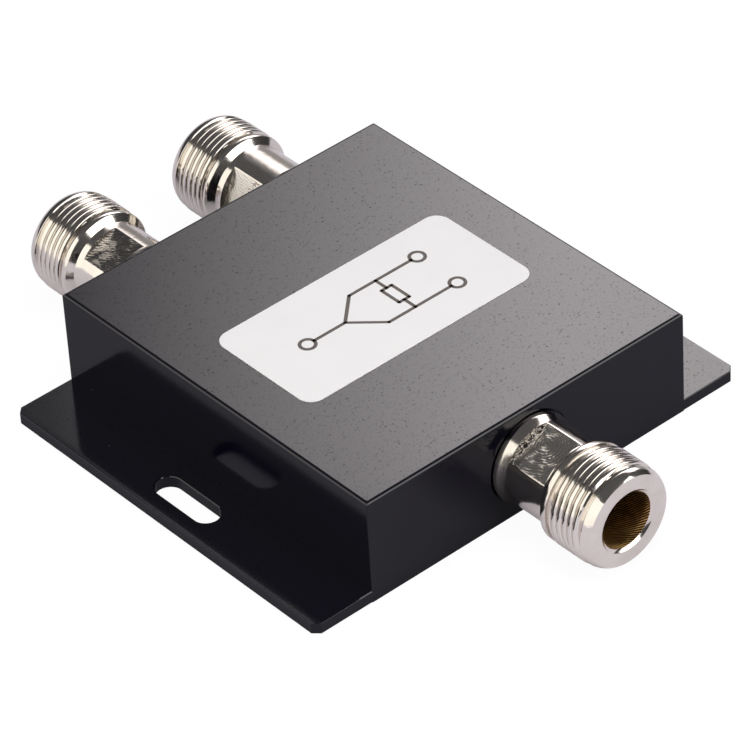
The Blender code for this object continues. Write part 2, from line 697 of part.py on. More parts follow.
def build_label(finish):
    """Builds the blank sticker on the housing's top."""
    bm = bmesh.new()
    outline = rounded_rectangle(LABEL_WIDTH / 2, LABEL_LENGTH / 2, LABEL_CORNER_RADIUS, (0.0, LABEL_OFFSET_Y))
    add_prism(bm, outline, BODY_HEIGHT + LAYER_GAP, BODY_HEIGHT + LAYER_GAP + LABEL_THICKNESS)
    add_object("label", bm, finish, smooth=False)


def main():
    """Builds every piece of the splitter."""
    clear_scene()
    black = material("black_paint", (0.030, 0.030, 0.033), 0.32, 0.0)
    nickel = material("bright_nickel", (0.78, 0.76, 0.73), 0.16, 1.0)
    gold = material("gold_plate", (0.83, 0.62, 0.26), 0.22, 1.0)
    fluoropolymer = material("white_fluoropolymer", (0.88, 0.88, 0.86), 0.45, 0.0)
    laminate = material("laminate", (0.16, 0.30, 0.14), 0.50, 0.0)
    tinned = material("tinned_copper", (0.75, 0.72, 0.66), 0.30, 1.0)
    ceramic = material("resistor_ceramic", (0.10, 0.10, 0.11), 0.40, 0.0)
    steel = material("zinc_steel", (0.62, 0.62, 0.62), 0.35, 1.0)
    paper = material("label_paper", (0.86, 0.86, 0.87), 0.55, 0.0)

    build_housing(black)
    build_cover(black)
    build_cover_screws(steel)
    socket_finishes = {"connector": nickel, "insulator": fluoropolymer, "contact": gold}
    for name, column, side, angle in PORTS:
        build_port(name, column, side, angle, socket_finishes)
    build_board(laminate)
    build_copper(tinned)
    build_resistor(ceramic)
    build_board_screws(steel)
    build_label(paper)


main()
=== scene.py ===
"""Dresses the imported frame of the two-way radio-frequency power splitter and stages it as photographed.

Lengths are metres in the frame's own axes: X runs across the flanges, Y along the sockets, Z is up.
The housing, the socket shells, the contacts, the beads, the cover, its screws and the label are
finer pieces that stand for their solids; what is shut inside the housing keeps its solid and gets
a finish.
"""

import logging
from collections.abc import Iterable, Sequence
from dataclasses import dataclass
from enum import Enum
from math import atan2, cos, floor, hypot, pi, radians, sin
from typing import Any

import bmesh
import bpy
from mathutils import Matrix, Vector

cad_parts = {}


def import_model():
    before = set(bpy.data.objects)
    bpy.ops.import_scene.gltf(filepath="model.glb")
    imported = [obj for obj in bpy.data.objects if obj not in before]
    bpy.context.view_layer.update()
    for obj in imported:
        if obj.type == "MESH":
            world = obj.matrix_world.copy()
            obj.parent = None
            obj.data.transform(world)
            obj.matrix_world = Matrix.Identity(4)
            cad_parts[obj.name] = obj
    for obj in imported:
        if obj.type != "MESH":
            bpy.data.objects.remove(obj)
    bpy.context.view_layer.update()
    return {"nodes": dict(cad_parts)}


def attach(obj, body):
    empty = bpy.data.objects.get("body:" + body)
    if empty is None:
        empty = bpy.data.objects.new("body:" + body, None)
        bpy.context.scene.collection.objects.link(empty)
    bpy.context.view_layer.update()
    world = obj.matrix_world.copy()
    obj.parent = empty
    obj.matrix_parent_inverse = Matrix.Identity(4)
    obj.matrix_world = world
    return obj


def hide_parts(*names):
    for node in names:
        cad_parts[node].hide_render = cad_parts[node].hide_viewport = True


LOG = logging.getLogger("splitter")

Point = tuple[float, float]
Place = tuple[float, float, float]
Corner = tuple[float, float, float]
Colour = tuple[float, float, float]

# Where a ramp starts, where it ends at full level, and its level at the start.
Rise = tuple[float, float, float]

MM = 0.001

# Distance in metres below which two points of a mesh are one, and below which an edge has no length.
WELD = 2e-7
NO_LENGTH = 1e-8

# Angle in degrees above which an edge stays sharp, and how strongly large faces pull the shading flat.
SHARP = 40.0
FLAT_PULL = 60

# Share of a corner's cut at which the middle point of its rounding stands.
ROUND_SHARE = 0.29


class Wall(Enum):
    """The wall that a socket stands on; the value is its side along Y."""

    FRONT = -1
    BACK = 1


class Fade(Enum):
    """How a lamp's brightness runs across its panel."""

    EVEN = "even"
    ACROSS = "across"


# Mesh tools.


def arc_points(centre: Point, radius: float, start: float, sweep: float, steps: int) -> list[Point]:
    """Gives points along an arc, both ends included.

    Args:
        centre: Middle of the arc.
        radius: Its radius.
        start: Angle of the first point, in radians.
        sweep: Angle from the first point to the last.
        steps: Number of chords.

    Returns:
        The points, in order.
    """
    return [(centre[0] + radius * cos(start + sweep * i / steps),
             centre[1] + radius * sin(start + sweep * i / steps)) for i in range(steps + 1)]


def circle_points(radius: float, steps: int, centre: Point = (0.0, 0.0)) -> list[Point]:
    """Gives a circle's outline, counter-clockwise."""
    return arc_points(centre, radius, 0.0, 2 * pi, steps)[:-1]


def round_rectangle(half_x: float, half_y: float, radius: float, steps: int,
                    centre: Point = (0.0, 0.0)) -> list[Point]:
    """Gives the outline of a rectangle with round corners, counter-clockwise.

    Args:
        half_x: Half its width.
        half_y: Half its length.
        radius: Corner radius.
        steps: Chords in each corner.
        centre: Middle of the rectangle.

    Returns:
        The points, in order.
    """
    points: list[Point] = []
    for sign_x, sign_y, start in ((1, -1, -pi / 2), (1, 1, 0.0), (-1, 1, pi / 2), (-1, -1, pi)):
        middle = (centre[0] + sign_x * (half_x - radius), centre[1] + sign_y * (half_y - radius))
        points += arc_points(middle, radius, start, pi / 2, steps)
    return points


def slot_points(width: float, length: float, steps: int, centre: Point) -> list[Point]:
    """Gives the outline of a round-ended slot whose long way runs along Y.

    Args:
        width: Width of the slot, along X.
        length: Its whole length.
        steps: Chords in each round end.
        centre: Middle of the slot.

    Returns:
        The points, in order, counter-clockwise.
    """
    radius = width / 2
    reach = length / 2 - radius
    ends = arc_points((centre[0], centre[1] + reach), radius, 0.0, pi, steps)
    return ends + arc_points((centre[0], centre[1] - reach), radius, pi, pi, steps)


def soften(profile: Sequence[Corner], closed: bool = True) -> list[Point]:
    """Rounds the corners of a section.

    Args:
        profile: Corners as (x, y, length cut from each side of the corner).
        closed: Whether the section's end joins its start; an open one keeps both ends as they are.

    Returns:
        The section with three points in place of each softened corner.
    """
    points: list[Point] = []
    count = len(profile)
    for index, (x, y, cut) in enumerate(profile):
        corner = Vector((x, y))
        if cut <= 0 or (not closed and index in (0, count - 1)):
            points.append((x, y))
            continue
        before = (Vector(profile[index - 1][:2]) - corner).normalized() * cut
        after = (Vector(profile[(index + 1) % count][:2]) - corner).normalized() * cut
        for weight_before, weight_after in ((1.0, 0.0), (ROUND_SHARE, ROUND_SHARE), (0.0, 1.0)):
            place = corner + before * weight_before + after * weight_after
            points.append((place.x, place.y))
    return points


def add_prism(bm: bmesh.types.BMesh, layers: Sequence[tuple[float, Sequence[Point]]]) -> None:
    """Adds a closed body lofted through flat outlines of equal point count.

    Args:
        bm: Mesh that receives the body.
        layers: Height and outline of each layer, from the lowest up.
    """
    rings = [[bm.verts.new((x, y, height)) for x, y in outline] for height, outline in layers]
    for low, high in zip(rings, rings[1:]):
        for index in range(len(low)):
            following = (index + 1) % len(low)
            bm.faces.new((low[index], low[following], high[following], high[index]))
    bm.faces.new(list(reversed(rings[0])))
    bm.faces.new(rings[-1])


def add_turned(bm: bmesh.types.BMesh, profile: Sequence[Point], steps: int, matrix: Matrix) -> None:
    """Adds a closed (radius, height) section spun once round its height axis.

    Args:
        bm: Mesh that receives the body.
        profile: The section's points; points on the axis become poles.
        steps: Number of facets round the axis.
        matrix: Place of the body.
    """
    body = bmesh.new()
    verts = [body.verts.new((radius, 0.0, height)) for radius, height in profile]
    for first, second in zip(verts, verts[1:] + verts[:1]):
        if first.co.x > 0 or second.co.x > 0:
            body.edges.new((first, second))
    bmesh.ops.spin(body, geom=[*body.verts, *body.edges], cent=(0, 0, 0), axis=(0, 0, 1),
                   dvec=(0, 0, 0), angle=2 * pi, steps=steps, use_merge=True)
    bmesh.ops.remove_doubles(body, verts=body.verts, dist=WELD)
    bmesh.ops.recalc_face_normals(body, faces=body.faces)
    body.transform(matrix)
    mesh = bpy.data.meshes.new("turned_body")
    body.to_mesh(mesh)
    body.free()
    bm.from_mesh(mesh)
    bpy.data.meshes.remove(mesh)


def make_object(name: str, bm: bmesh.types.BMesh, materials: Iterable[bpy.types.Material] = (),
                sharp: float | None = SHARP) -> bpy.types.Object:
    """Turns a bmesh into an object in the scene.

    Args:
        name: Name of the piece.
        bm: Its mesh, freed here.
        materials: Materials for its slots, in order.
        sharp: Angle in degrees above which an edge stays sharp, or None for flat faces.

    Returns:
        The new object.
    """
    bmesh.ops.recalc_face_normals(bm, faces=bm.faces)
    mesh = bpy.data.meshes.new(name)
    bm.to_mesh(mesh)
    bm.free()
    if sharp is not None:
        mesh.shade_smooth()
        mesh.set_sharp_from_angle(angle=radians(sharp))
    made = bpy.data.objects.new(name, mesh)
    bpy.context.scene.collection.objects.link(made)
    for material in materials:
        mesh.materials.append(material)
    return made


def settle(piece: bpy.types.Object) -> None:
    """Applies the modifiers of a piece to its mesh.

    Args:
        piece: The piece whose mesh is replaced by the modified one.
    """
    graph = bpy.context.evaluated_depsgraph_get()
    graph.update()
    old = piece.data
    piece.data = bpy.data.meshes.new_from_object(piece.evaluated_get(graph))
    piece.modifiers.clear()
    bpy.data.meshes.remove(old)


def carve(piece: bpy.types.Object, bm: bmesh.types.BMesh, operation: str = "DIFFERENCE") -> None:
    """Cuts, joins or intersects a piece with a tool body, and removes the tool.

    Args:
        piece: The piece that is shaped.
        bm: Mesh of the tool, freed here.
        operation: Name of the Boolean operation.
    """
    tool = make_object("shaping_tool", bm, sharp=None)
    modifier = piece.modifiers.new("shape", "BOOLEAN")
    modifier.operation = operation
    modifier.solver = "EXACT"
    modifier.object = tool
    settle(piece)
    mesh = tool.data
    bpy.data.objects.remove(tool, do_unlink=True)
    bpy.data.meshes.remove(mesh)


def even_normals(piece: bpy.types.Object, sharp: float = SHARP) -> None:
    """Gives a piece smooth shading in which its large faces stay flat.

    Args:
        piece: The piece.
        sharp: Angle in degrees above which an edge stays sharp.
    """
    piece.data.shade_smooth()
    piece.data.set_sharp_from_angle(angle=radians(sharp))
    modifier = piece.modifiers.new("even", "WEIGHTED_NORMAL")
    modifier.keep_sharp = True
    modifier.weight = FLAT_PULL
    settle(piece)


def coat(piece: bpy.types.Object, finish: bpy.types.Material) -> None:
    """Gives a whole piece one finish."""
    piece.data.materials.clear()
    piece.data.materials.append(finish)


def dress(piece: bpy.types.Object, slot: str, *nodes: str) -> None:
    """Lets a piece ride on the part and hides the frame's nodes that it replaces.

    Args:
        piece: The new piece.
        slot: The record's material slot of its finish; not used.
        nodes: The frame's nodes that it replaces.
    """
    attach(piece, "root")
    if nodes:
        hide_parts(*nodes)
    LOG.info("%s: %d faces", piece.name, len(piece.data.polygons))


# Shader tools.


class Sheet:
    """Adds nodes to one node tree, in columns from left to right."""

    def __init__(self, tree: bpy.types.NodeTree) -> None:
        """Starts on an empty tree."""
        self.tree = tree
        self.count = 0

    def add(self, kind: str, inputs: dict[str | int, Any] | None = None, **settings: Any) -> bpy.types.Node:
        """Adds a node.

        Args:
            kind: Blender's name of the node type, without its ShaderNode prefix.
            inputs: Values or output sockets for its inputs.
            settings: Properties of the node.

        Returns:
            The node.
        """
        prefix = "" if kind.startswith(("Node", "Shader")) else "ShaderNode"
        node = self.tree.nodes.new(prefix + kind)
        node.location = (180 * (self.count % 12), -220 * (self.count // 12))
        self.count += 1
        for name, value in settings.items():
            setattr(node, name, value)
        for name, value in (inputs or {}).items():
            self.feed(node, name, value)
        return node

    def feed(self, node: bpy.types.Node, name: str | int, value: Any) -> None:
        """Sets one input of a node to a value, or links an output socket to it.

        Args:
            node: The node.
            name: Name or number of its input.
            value: The value, or the output socket to link.
        """
        socket = node.inputs[name]
        if isinstance(value, bpy.types.NodeSocket):
            self.tree.links.new(value, socket)
        elif isinstance(value, tuple) and len(value) == 3 and socket.type == "RGBA":
            socket.default_value = (*value, 1.0)
        else:
            socket.default_value = value

    def math(self, operation: str, first: Any, second: Any = 0.0, third: Any = 0.0) -> bpy.types.NodeSocket:
        """Adds a Math node and gives its output.

        Args:
            operation: Blender's name of the operation.
            first: First value or socket.
            second: Second value or socket.
            third: Third one, for the operations that take it.

        Returns:
            The node's output.
        """
        node = self.add("Math", {0: first, 1: second}, operation=operation)
        if operation in {"MULTIPLY_ADD", "SMOOTH_MIN", "SMOOTH_MAX", "WRAP", "COMPARE"}:
            self.feed(node, 2, third)
        return node.outputs[0]

    def ramp(self, value: Any, low: float, high: float, to_low: float = 0.0, to_high: float = 1.0,
             smooth: bool = False) -> bpy.types.NodeSocket:
        """Maps a value from one range to another, held at both ends.

        Args:
            value: The value or socket to map.
            low: Value that becomes to_low.
            high: Value that becomes to_high.
            to_low: Result at low.
            to_high: Result at high.
            smooth: Whether the ramp eases in and out.

        Returns:
            The mapped value.
        """
        node = self.add("MapRange", {0: value, 1: low, 2: high, 3: to_low, 4: to_high}, clamp=True)
        if smooth:
            node.interpolation_type = "SMOOTHSTEP"
        return node.outputs[0]

    def blend(self, factor: Any, first: Any, second: Any) -> bpy.types.NodeSocket:
        """Mixes two colours and gives the result.

        Args:
            factor: Share of the second colour.
            first: First colour or socket.
            second: Second colour or socket.

        Returns:
            The mixed colour.
        """
        node = self.add("Mix", {0: factor}, data_type="RGBA")
        self.feed(node, 6, first)
        self.feed(node, 7, second)
        return node.outputs[2]

    def noise(self, place: Any, size: Any, detail: float = 2.0,
              roughness: float = 0.5) -> bpy.types.NodeSocket:
        """Adds noise.

        Args:
            place: Socket of the place.
            size: Size of the pattern in metres, or its socket.
            detail: Number of finer layers.
            roughness: Weight of the finer layers.

        Returns:
            The noise, about 0.5 on average.
        """
        scale = self.math("DIVIDE", 1.0, size) if isinstance(size, bpy.types.NodeSocket) else 1.0 / size
        node = self.add("TexNoise", {"Vector": place, "Scale": scale, "Detail": detail,
                                     "Roughness": roughness})
        return node.outputs[0]

    def stretched(self, place: Any, angle: float, scale: Place) -> bpy.types.NodeSocket:
        """Turns a place about Z and scales it, so that a pattern on it is drawn out."""
        node = self.add("Mapping", {"Vector": place, "Rotation": (0.0, 0.0, angle), "Scale": scale})
        return node.outputs[0]

    def group(self, tree: bpy.types.NodeTree, inputs: dict[str | int, Any]) -> bpy.types.Node:
        """Places a shared group with its own values.

        Args:
            tree: The group.
            inputs: Values or sockets for its inputs.

        Returns:
            The group's node.
        """
        node = self.add("Group", node_tree=tree)
        for name, value in inputs.items():
            self.feed(node, name, value)
        return node


class Effect(Enum):
    """The shared effects, each one shader node group."""

    PITS = "Paint pits"
    PEEL = "Lacquer peel"
    DUST = "Settled dust"
    TURNING = "Turning lines"
    FLUTES = "Bore flutes"
    MILLING = "Milling swirls"
    TARNISH = "Tarnish"
    FIBRE = "Paper fibre"


class EffectShelf:
    """Builds each shared effect once and hands it out to the finishes."""

    def __init__(self) -> None:
        """Builds every group."""
        self.trees: dict[Effect, bpy.types.NodeTree] = {
            Effect.PITS: self.pits(),
            Effect.PEEL: self.peel(),
            Effect.DUST: self.dust(),
            Effect.TURNING: self.turning(),
            Effect.FLUTES: self.flutes(),
            Effect.MILLING: self.milling(),
            Effect.TARNISH: self.tarnish(),
            Effect.FIBRE: self.fibre(),
        }

    @staticmethod
    def start(effect: Effect, inputs: dict[str, float],
              outputs: Sequence[str]) -> tuple[Sheet, bpy.types.Node]:
        """Opens a group with a Place input, more number inputs, and number outputs.

        Args:
            effect: The effect that the group makes.
            inputs: Name and default of each number input.
            outputs: Name of each number output.

        Returns:
            The sheet to add nodes on, and the group's input node.
        """
        tree = bpy.data.node_groups.new(effect.value, "ShaderNodeTree")
        tree.interface.new_socket("Place", in_out="INPUT", socket_type="NodeSocketVector")
        for name, default in inputs.items():
            socket = tree.interface.new_socket(name, in_out="INPUT", socket_type="NodeSocketFloat")
            socket.default_value = default
        for name in outputs:
            tree.interface.new_socket(name, in_out="OUTPUT", socket_type="NodeSocketFloat")
        sheet = Sheet(tree)
        return sheet, sheet.add("NodeGroupInput")

    @staticmethod
    def end(sheet: Sheet, outputs: dict[str, bpy.types.NodeSocket]) -> bpy.types.NodeTree:
        """Closes a group by linking its outputs."""
        sheet.add("NodeGroupOutput", dict(outputs))
        return sheet.tree

    def pits(self) -> bpy.types.NodeTree:
        """Small dark pits and short dashes in sprayed paint.

        Returns:
            The group, whose Mask is 1 in a pit.
        """
        slant, stretch, widest = radians(-34.0), (0.72, 1.15, 1.0), 0.34
        layers = ((1.3, 0.22), (0.75, 0.12))
        rim_from, rim_to, shallowest = -0.03, 0.08, 0.35
        sheet, given = self.start(Effect.PITS, {"Cell": 0.0008, "Amount": 0.5}, ("Mask",))
        mask: Any = 0.0
        for cell_share, bare_share in layers:
            inverse = sheet.math("DIVIDE", 1.0 / cell_share, given.outputs["Cell"])
            place = sheet.stretched(given.outputs["Place"], slant, stretch)
            cells = sheet.add("TexVoronoi", {"Vector": place, "Scale": inverse, "Randomness": 1.0})
            parts = sheet.add("SeparateColor", {0: cells.outputs["Color"]})
            chosen = sheet.ramp(parts.outputs[0], bare_share, 1.0, 0.0, widest)
            reach = sheet.math("MULTIPLY", chosen, given.outputs["Amount"])
            inside = sheet.math("SUBTRACT", reach, cells.outputs["Distance"])
            spot = sheet.ramp(inside, rim_from, rim_to, smooth=True)
            depth = sheet.math("MULTIPLY", spot, sheet.ramp(parts.outputs[1], 0.0, 1.0, shallowest, 1.0))
            mask = sheet.math("MAXIMUM", mask, depth)
        return self.end(sheet, {"Mask": mask})

    def peel(self) -> bpy.types.NodeTree:
        """The slight waviness of a lacquer coat and fine mottling in it.

        Returns:
            The group, whose Height is the waviness and Mottle its fine part.
        """
        finer, fine_share = 5.0, 0.12
        sheet, given = self.start(Effect.PEEL, {"Wave": 0.0016}, ("Height", "Mottle"))
        broad = sheet.noise(given.outputs["Place"], given.outputs["Wave"], 1.0)
        fine = sheet.noise(given.outputs["Place"], sheet.math("DIVIDE", given.outputs["Wave"], finer))
        height = sheet.math("MULTIPLY_ADD", fine, fine_share, broad)
        return self.end(sheet, {"Height": height, "Mottle": fine})

    def dust(self) -> bpy.types.NodeTree:
        """A few pale specks that have settled on a surface.

        Returns:
            The group, whose Mask is 1 on a speck.
        """
        rim_from, rim_to = -0.004, 0.006
        sheet, given = self.start(Effect.DUST, {"Cell": 0.006, "Size": 0.02}, ("Mask",))
        scale = sheet.math("DIVIDE", 1.0, given.outputs["Cell"])
        cells = sheet.add("TexVoronoi", {"Vector": given.outputs["Place"], "Scale": scale,
                                         "Randomness": 1.0})
        parts = sheet.add("SeparateColor", {0: cells.outputs["Color"]})
        reach = sheet.math("MULTIPLY", parts.outputs[2], given.outputs["Size"])
        inside = sheet.math("SUBTRACT", reach, cells.outputs["Distance"])
        return self.end(sheet, {"Mask": sheet.ramp(inside, rim_from, rim_to)})

    def turning(self) -> bpy.types.NodeTree:
        """Fine rings left by a lathe, and a slow waviness of the plating over them.

        Place holds the station along the axis as X and the direction round it as Y and Z.

        Returns:
            The group, whose Rings and Waves are heights for a bump.
        """
        sheet, given = self.start(Effect.TURNING, {"Pitch": 0.0001, "Wave": 0.0012}, ("Rings", "Waves"))
        parts = sheet.add("SeparateXYZ", {0: given.outputs["Place"]})
        lines = sheet.math("DIVIDE", parts.outputs[0], given.outputs["Pitch"])
        flat = sheet.add("CombineXYZ", {0: lines, 1: parts.outputs[1], 2: parts.outputs[2]})
        waves = sheet.noise(object_place(sheet), given.outputs["Wave"])
        return self.end(sheet, {"Rings": sheet.noise(flat.outputs[0], 1.0), "Waves": waves})

    def flutes(self) -> bpy.types.NodeTree:
        """Slanting ridges round a bore.

        Place holds the station along the axis as X and the direction round it as Y and Z.

        Returns:
            The group, whose Height is the ridges' wave and Ridge 1 along their tops.
        """
        shine_from, shine_to = 0.1, 0.95
        sheet, given = self.start(Effect.FLUTES, {"Count": 60.0, "Slant": 244.0}, ("Height", "Ridge"))
        parts = sheet.add("SeparateXYZ", {0: given.outputs["Place"]})
        angle = sheet.math("ARCTAN2", parts.outputs[2], parts.outputs[1])
        along = sheet.math("MULTIPLY", parts.outputs[0], given.outputs["Slant"])
        turned = sheet.math("MULTIPLY", sheet.math("SUBTRACT", angle, along), given.outputs["Count"])
        wave = sheet.math("SINE", turned)
        ridge = sheet.ramp(wave, shine_from, shine_to, smooth=True)
        return self.end(sheet, {"Height": wave, "Ridge": ridge})

    def milling(self) -> bpy.types.NodeTree:
        """Arcs left by the end of a milling cutter, broken by chatter.

        Place holds the distance along the flat as X and across it as Y.

        Returns:
            The group, whose Height is for a bump, Bright marks the crests that get a painted highlight, and
            Torn marks chatter.
        """
        drift_size, strength_size = 0.0014, 0.0022
        tear_size, patch_size, speck_size = 0.00028, 0.0006, 0.0004
        weak_at, strong_at, weakest = 0.35, 0.62, 0.25
        torn_edge, crest, speck_from, speck_to = 0.12, 0.8, 0.44, 0.56
        layers, layer_weight = 2.0, 0.6
        foot_from, foot_to, foot_share, least_share = -0.0030, -0.0018, 0.50, 0.30
        bends, tear_height = 10.0, 4.0
        sheet, given = self.start(Effect.MILLING, {"Centre X": 0.0, "Centre Y": 0.0, "Pitch": 0.00035,
                                                   "Wobble": 0.25, "Chatter": 0.5},
                                  ("Height", "Bright", "Torn"))
        parts = sheet.add("SeparateXYZ", {0: given.outputs["Place"]})
        away_x = sheet.math("SUBTRACT", parts.outputs[0], given.outputs["Centre X"])
        away_y = sheet.math("SUBTRACT", parts.outputs[1], given.outputs["Centre Y"])
        away = sheet.math("SQRT", sheet.math("ADD", sheet.math("MULTIPLY", away_x, away_x),
                                             sheet.math("MULTIPLY", away_y, away_y)))
        drift = sheet.noise(given.outputs["Place"], drift_size)
        turns = sheet.math("DIVIDE", away, given.outputs["Pitch"])
        wobble = sheet.math("MULTIPLY", sheet.math("SUBTRACT", drift, 0.5), given.outputs["Wobble"])
        phase = sheet.math("MULTIPLY_ADD", wobble, bends, turns)
        wave = sheet.math("SINE", sheet.math("MULTIPLY", phase, 2 * pi))
        strength = sheet.ramp(sheet.noise(given.outputs["Place"], strength_size, 1.0), weak_at, strong_at,
                              weakest, 1.0)
        arcs = sheet.math("MULTIPLY", wave, strength)
        rough = sheet.noise(given.outputs["Place"], tear_size, layers, layer_weight)
        from_foot = sheet.ramp(parts.outputs[0], foot_from, foot_to)
        edge_at = sheet.math("MULTIPLY_ADD", from_foot, foot_share, least_share)
        patch = sheet.noise(given.outputs["Place"], patch_size)
        torn = sheet.ramp(sheet.math("SUBTRACT", patch, edge_at), 0.0, torn_edge)
        chatter = sheet.math("MULTIPLY", sheet.math("MULTIPLY", torn, rough), given.outputs["Chatter"])
        height = sheet.math("MULTIPLY_ADD", chatter, tear_height, sheet.math("MULTIPLY_ADD", arcs, 0.5, 0.5))
        bright = sheet.math("MULTIPLY", sheet.ramp(wave, crest, 1.0), strength)
        spots = sheet.noise(given.outputs["Place"], speck_size, layers, layer_weight)
        specks = sheet.ramp(spots, speck_from, speck_to)
        dark = sheet.math("MULTIPLY", sheet.math("MULTIPLY", torn, specks), given.outputs["Chatter"])
        return self.end(sheet, {"Height": height, "Bright": bright, "Torn": dark})

    def tarnish(self) -> bpy.types.NodeTree:
        """Slow patches in which a plated surface is duller.

        Returns:
            The group, whose Mask is 1 where the plate is dullest.
        """
        clean_at, dull_at, layers, layer_weight = 0.35, 0.75, 4.0, 0.6
        sheet, given = self.start(Effect.TARNISH, {"Patch": 0.004}, ("Mask",))
        cloud = sheet.noise(given.outputs["Place"], given.outputs["Patch"], layers, layer_weight)
        return self.end(sheet, {"Mask": sheet.ramp(cloud, clean_at, dull_at)})

    def fibre(self) -> bpy.types.NodeTree:
        """The faint unevenness of coated paper.

        Returns:
            The group, whose Height is the grain and Cloud the slow unevenness.
        """
        cloud_size = 0.008
        sheet, given = self.start(Effect.FIBRE, {"Size": 0.0004}, ("Height", "Cloud"))
        fine = sheet.noise(given.outputs["Place"], given.outputs["Size"], 3.0)
        return self.end(sheet, {"Height": fine, "Cloud": sheet.noise(given.outputs["Place"], cloud_size)})


def blank_material(name: str) -> tuple[bpy.types.Material, Sheet, bpy.types.Node]:
    """Starts a material with a Principled shader.

    Args:
        name: Name of the material.

    Returns:
        The material, a sheet on its tree, and its shader node.
    """
    material = bpy.data.materials.new(name)
    material.use_nodes = True
    shader = material.node_tree.nodes["Principled BSDF"]
    return material, Sheet(material.node_tree), shader


def object_place(sheet: Sheet) -> bpy.types.NodeSocket:
    """Gives the place on the object, in metres."""
    return sheet.add("TexCoord").outputs["Object"]


def stored_place(sheet: Sheet, name: str) -> bpy.types.NodeSocket:
    """Gives a place that was stored on the mesh under a name."""
    return sheet.add("Attribute", attribute_name=name).outputs["Vector"]


@dataclass(frozen=True)
class LacquerFinish:
    """Black sprayed lacquer: a clear glossy skin over black, with peel, pits and dust, and painted shade
    that dims the skin's sheen where a face does not face up.
    """

    name: str
    tone: Colour = (0.0016, 0.0015, 0.0052)
    pit_cell: float = 0.00036
    pit_amount: float = 1.05
    peel_wave: float = 0.0016
    peel_strength: float = 0.05
    peel_height: float = 0.0004
    pit_height: float = -0.7
    pit_coat: float = 0.42
    pit_rise: Rise = (0.8, 0.98, 0.1)
    # Painted shade: how the coat's sheen falls from up-facing faces to a third on upright sides.
    side_sheen_shade_rise: Rise = (0.3, 0.95, 0.34)
    mottle_rise: Rise = (0.25, 0.75, 0.95)
    dust_cell: float = 0.0055
    dust_size: float = 0.022
    dust_tone: Colour = (0.30, 0.30, 0.31)
    roughness: float = 0.6
    coat_roughness: float = 0.11
    coat_index: float = 1.7

    def build(self, shelf: EffectShelf) -> bpy.types.Material:
        """Builds the material.

        Args:
            shelf: The shared effects.

        Returns:
            The material.
        """
        material, sheet, shader = blank_material(self.name)
        place = object_place(sheet)
        pits = sheet.group(shelf.trees[Effect.PITS], {"Place": place, "Cell": self.pit_cell,
                                                      "Amount": self.pit_amount})
        peel = sheet.group(shelf.trees[Effect.PEEL], {"Place": place, "Wave": self.peel_wave})
        dust = sheet.group(shelf.trees[Effect.DUST], {"Place": place, "Cell": self.dust_cell,
                                                      "Size": self.dust_size})
        sheet.feed(shader, "Base Color", sheet.blend(dust.outputs["Mask"], self.tone, self.dust_tone))
        sheet.feed(shader, "Roughness", self.roughness)
        sheet.feed(shader, "Specular IOR Level", 0.0)
        up = sheet.add("SeparateXYZ", {0: sheet.add("TexCoord").outputs["Normal"]}).outputs[2]
        level = sheet.math("MULTIPLY", pits.outputs["Mask"], sheet.ramp(up, *self.pit_rise, 1.0))
        # Painted shade: the coat weight is lowered on faces that do not face up, so their sheen is darker.
        skin = sheet.math("MULTIPLY", sheet.ramp(level, 0.0, 1.0, 1.0, self.pit_coat),
                          sheet.ramp(up, *self.side_sheen_shade_rise, 1.0))
        mottle = sheet.ramp(peel.outputs["Mottle"], *self.mottle_rise, 1.0)
        mottled = sheet.math("MULTIPLY", skin, mottle)
        sheet.feed(shader, "Coat Weight", mottled)
        sheet.feed(shader, "Coat Roughness", self.coat_roughness)
        sheet.feed(shader, "Coat IOR", self.coat_index)
        height = sheet.math("MULTIPLY_ADD", pits.outputs["Mask"], self.pit_height, peel.outputs["Height"])
        bump = sheet.add("Bump", {"Height": height, "Strength": self.peel_strength,
                                  "Distance": self.peel_height})
        sheet.feed(shader, "Normal", bump.outputs[0])
        return material


@dataclass(frozen=True)
class NickelFinish:
    """Bright nickel plate on turned brass."""

    name: str
    tone: Colour = (0.80, 0.755, 0.70)
    dull_tone: Colour = (0.70, 0.655, 0.60)
    patch: float = 0.004
    roughness: float = 0.10
    duller: float = 0.07
    ring_pitch: float = 0.00009
    ring_strength: float = 0.10
    wave: float = 0.0011
    wave_strength: float = 1.0
    bump: float = 0.35
    bump_height: float = 0.00006

    def build(self, shelf: EffectShelf) -> bpy.types.Material:
        """Builds the material.

        Args:
            shelf: The shared effects.

        Returns:
            The material.
        """
        material, sheet, shader = blank_material(self.name)
        marks = sheet.group(shelf.trees[Effect.TURNING], {"Place": stored_place(sheet, "turned_place"),
                                                          "Pitch": self.ring_pitch, "Wave": self.wave})
        tarnish = sheet.group(shelf.trees[Effect.TARNISH], {"Place": object_place(sheet),
                                                            "Patch": self.patch})
        sheet.feed(shader, "Base Color", sheet.blend(tarnish.outputs["Mask"], self.tone, self.dull_tone))
        sheet.feed(shader, "Metallic", 1.0)
        sheet.feed(shader, "Roughness", sheet.ramp(tarnish.outputs["Mask"], 0.0, 1.0, self.roughness,
                                                   self.roughness + self.duller))
        rings = sheet.math("MULTIPLY", marks.outputs["Rings"], self.ring_strength)
        height = sheet.math("MULTIPLY_ADD", marks.outputs["Waves"], self.wave_strength, rings)
        bump = sheet.add("Bump", {"Height": height, "Strength": self.bump, "Distance": self.bump_height})
        sheet.feed(shader, "Normal", bump.outputs[0])
        return material


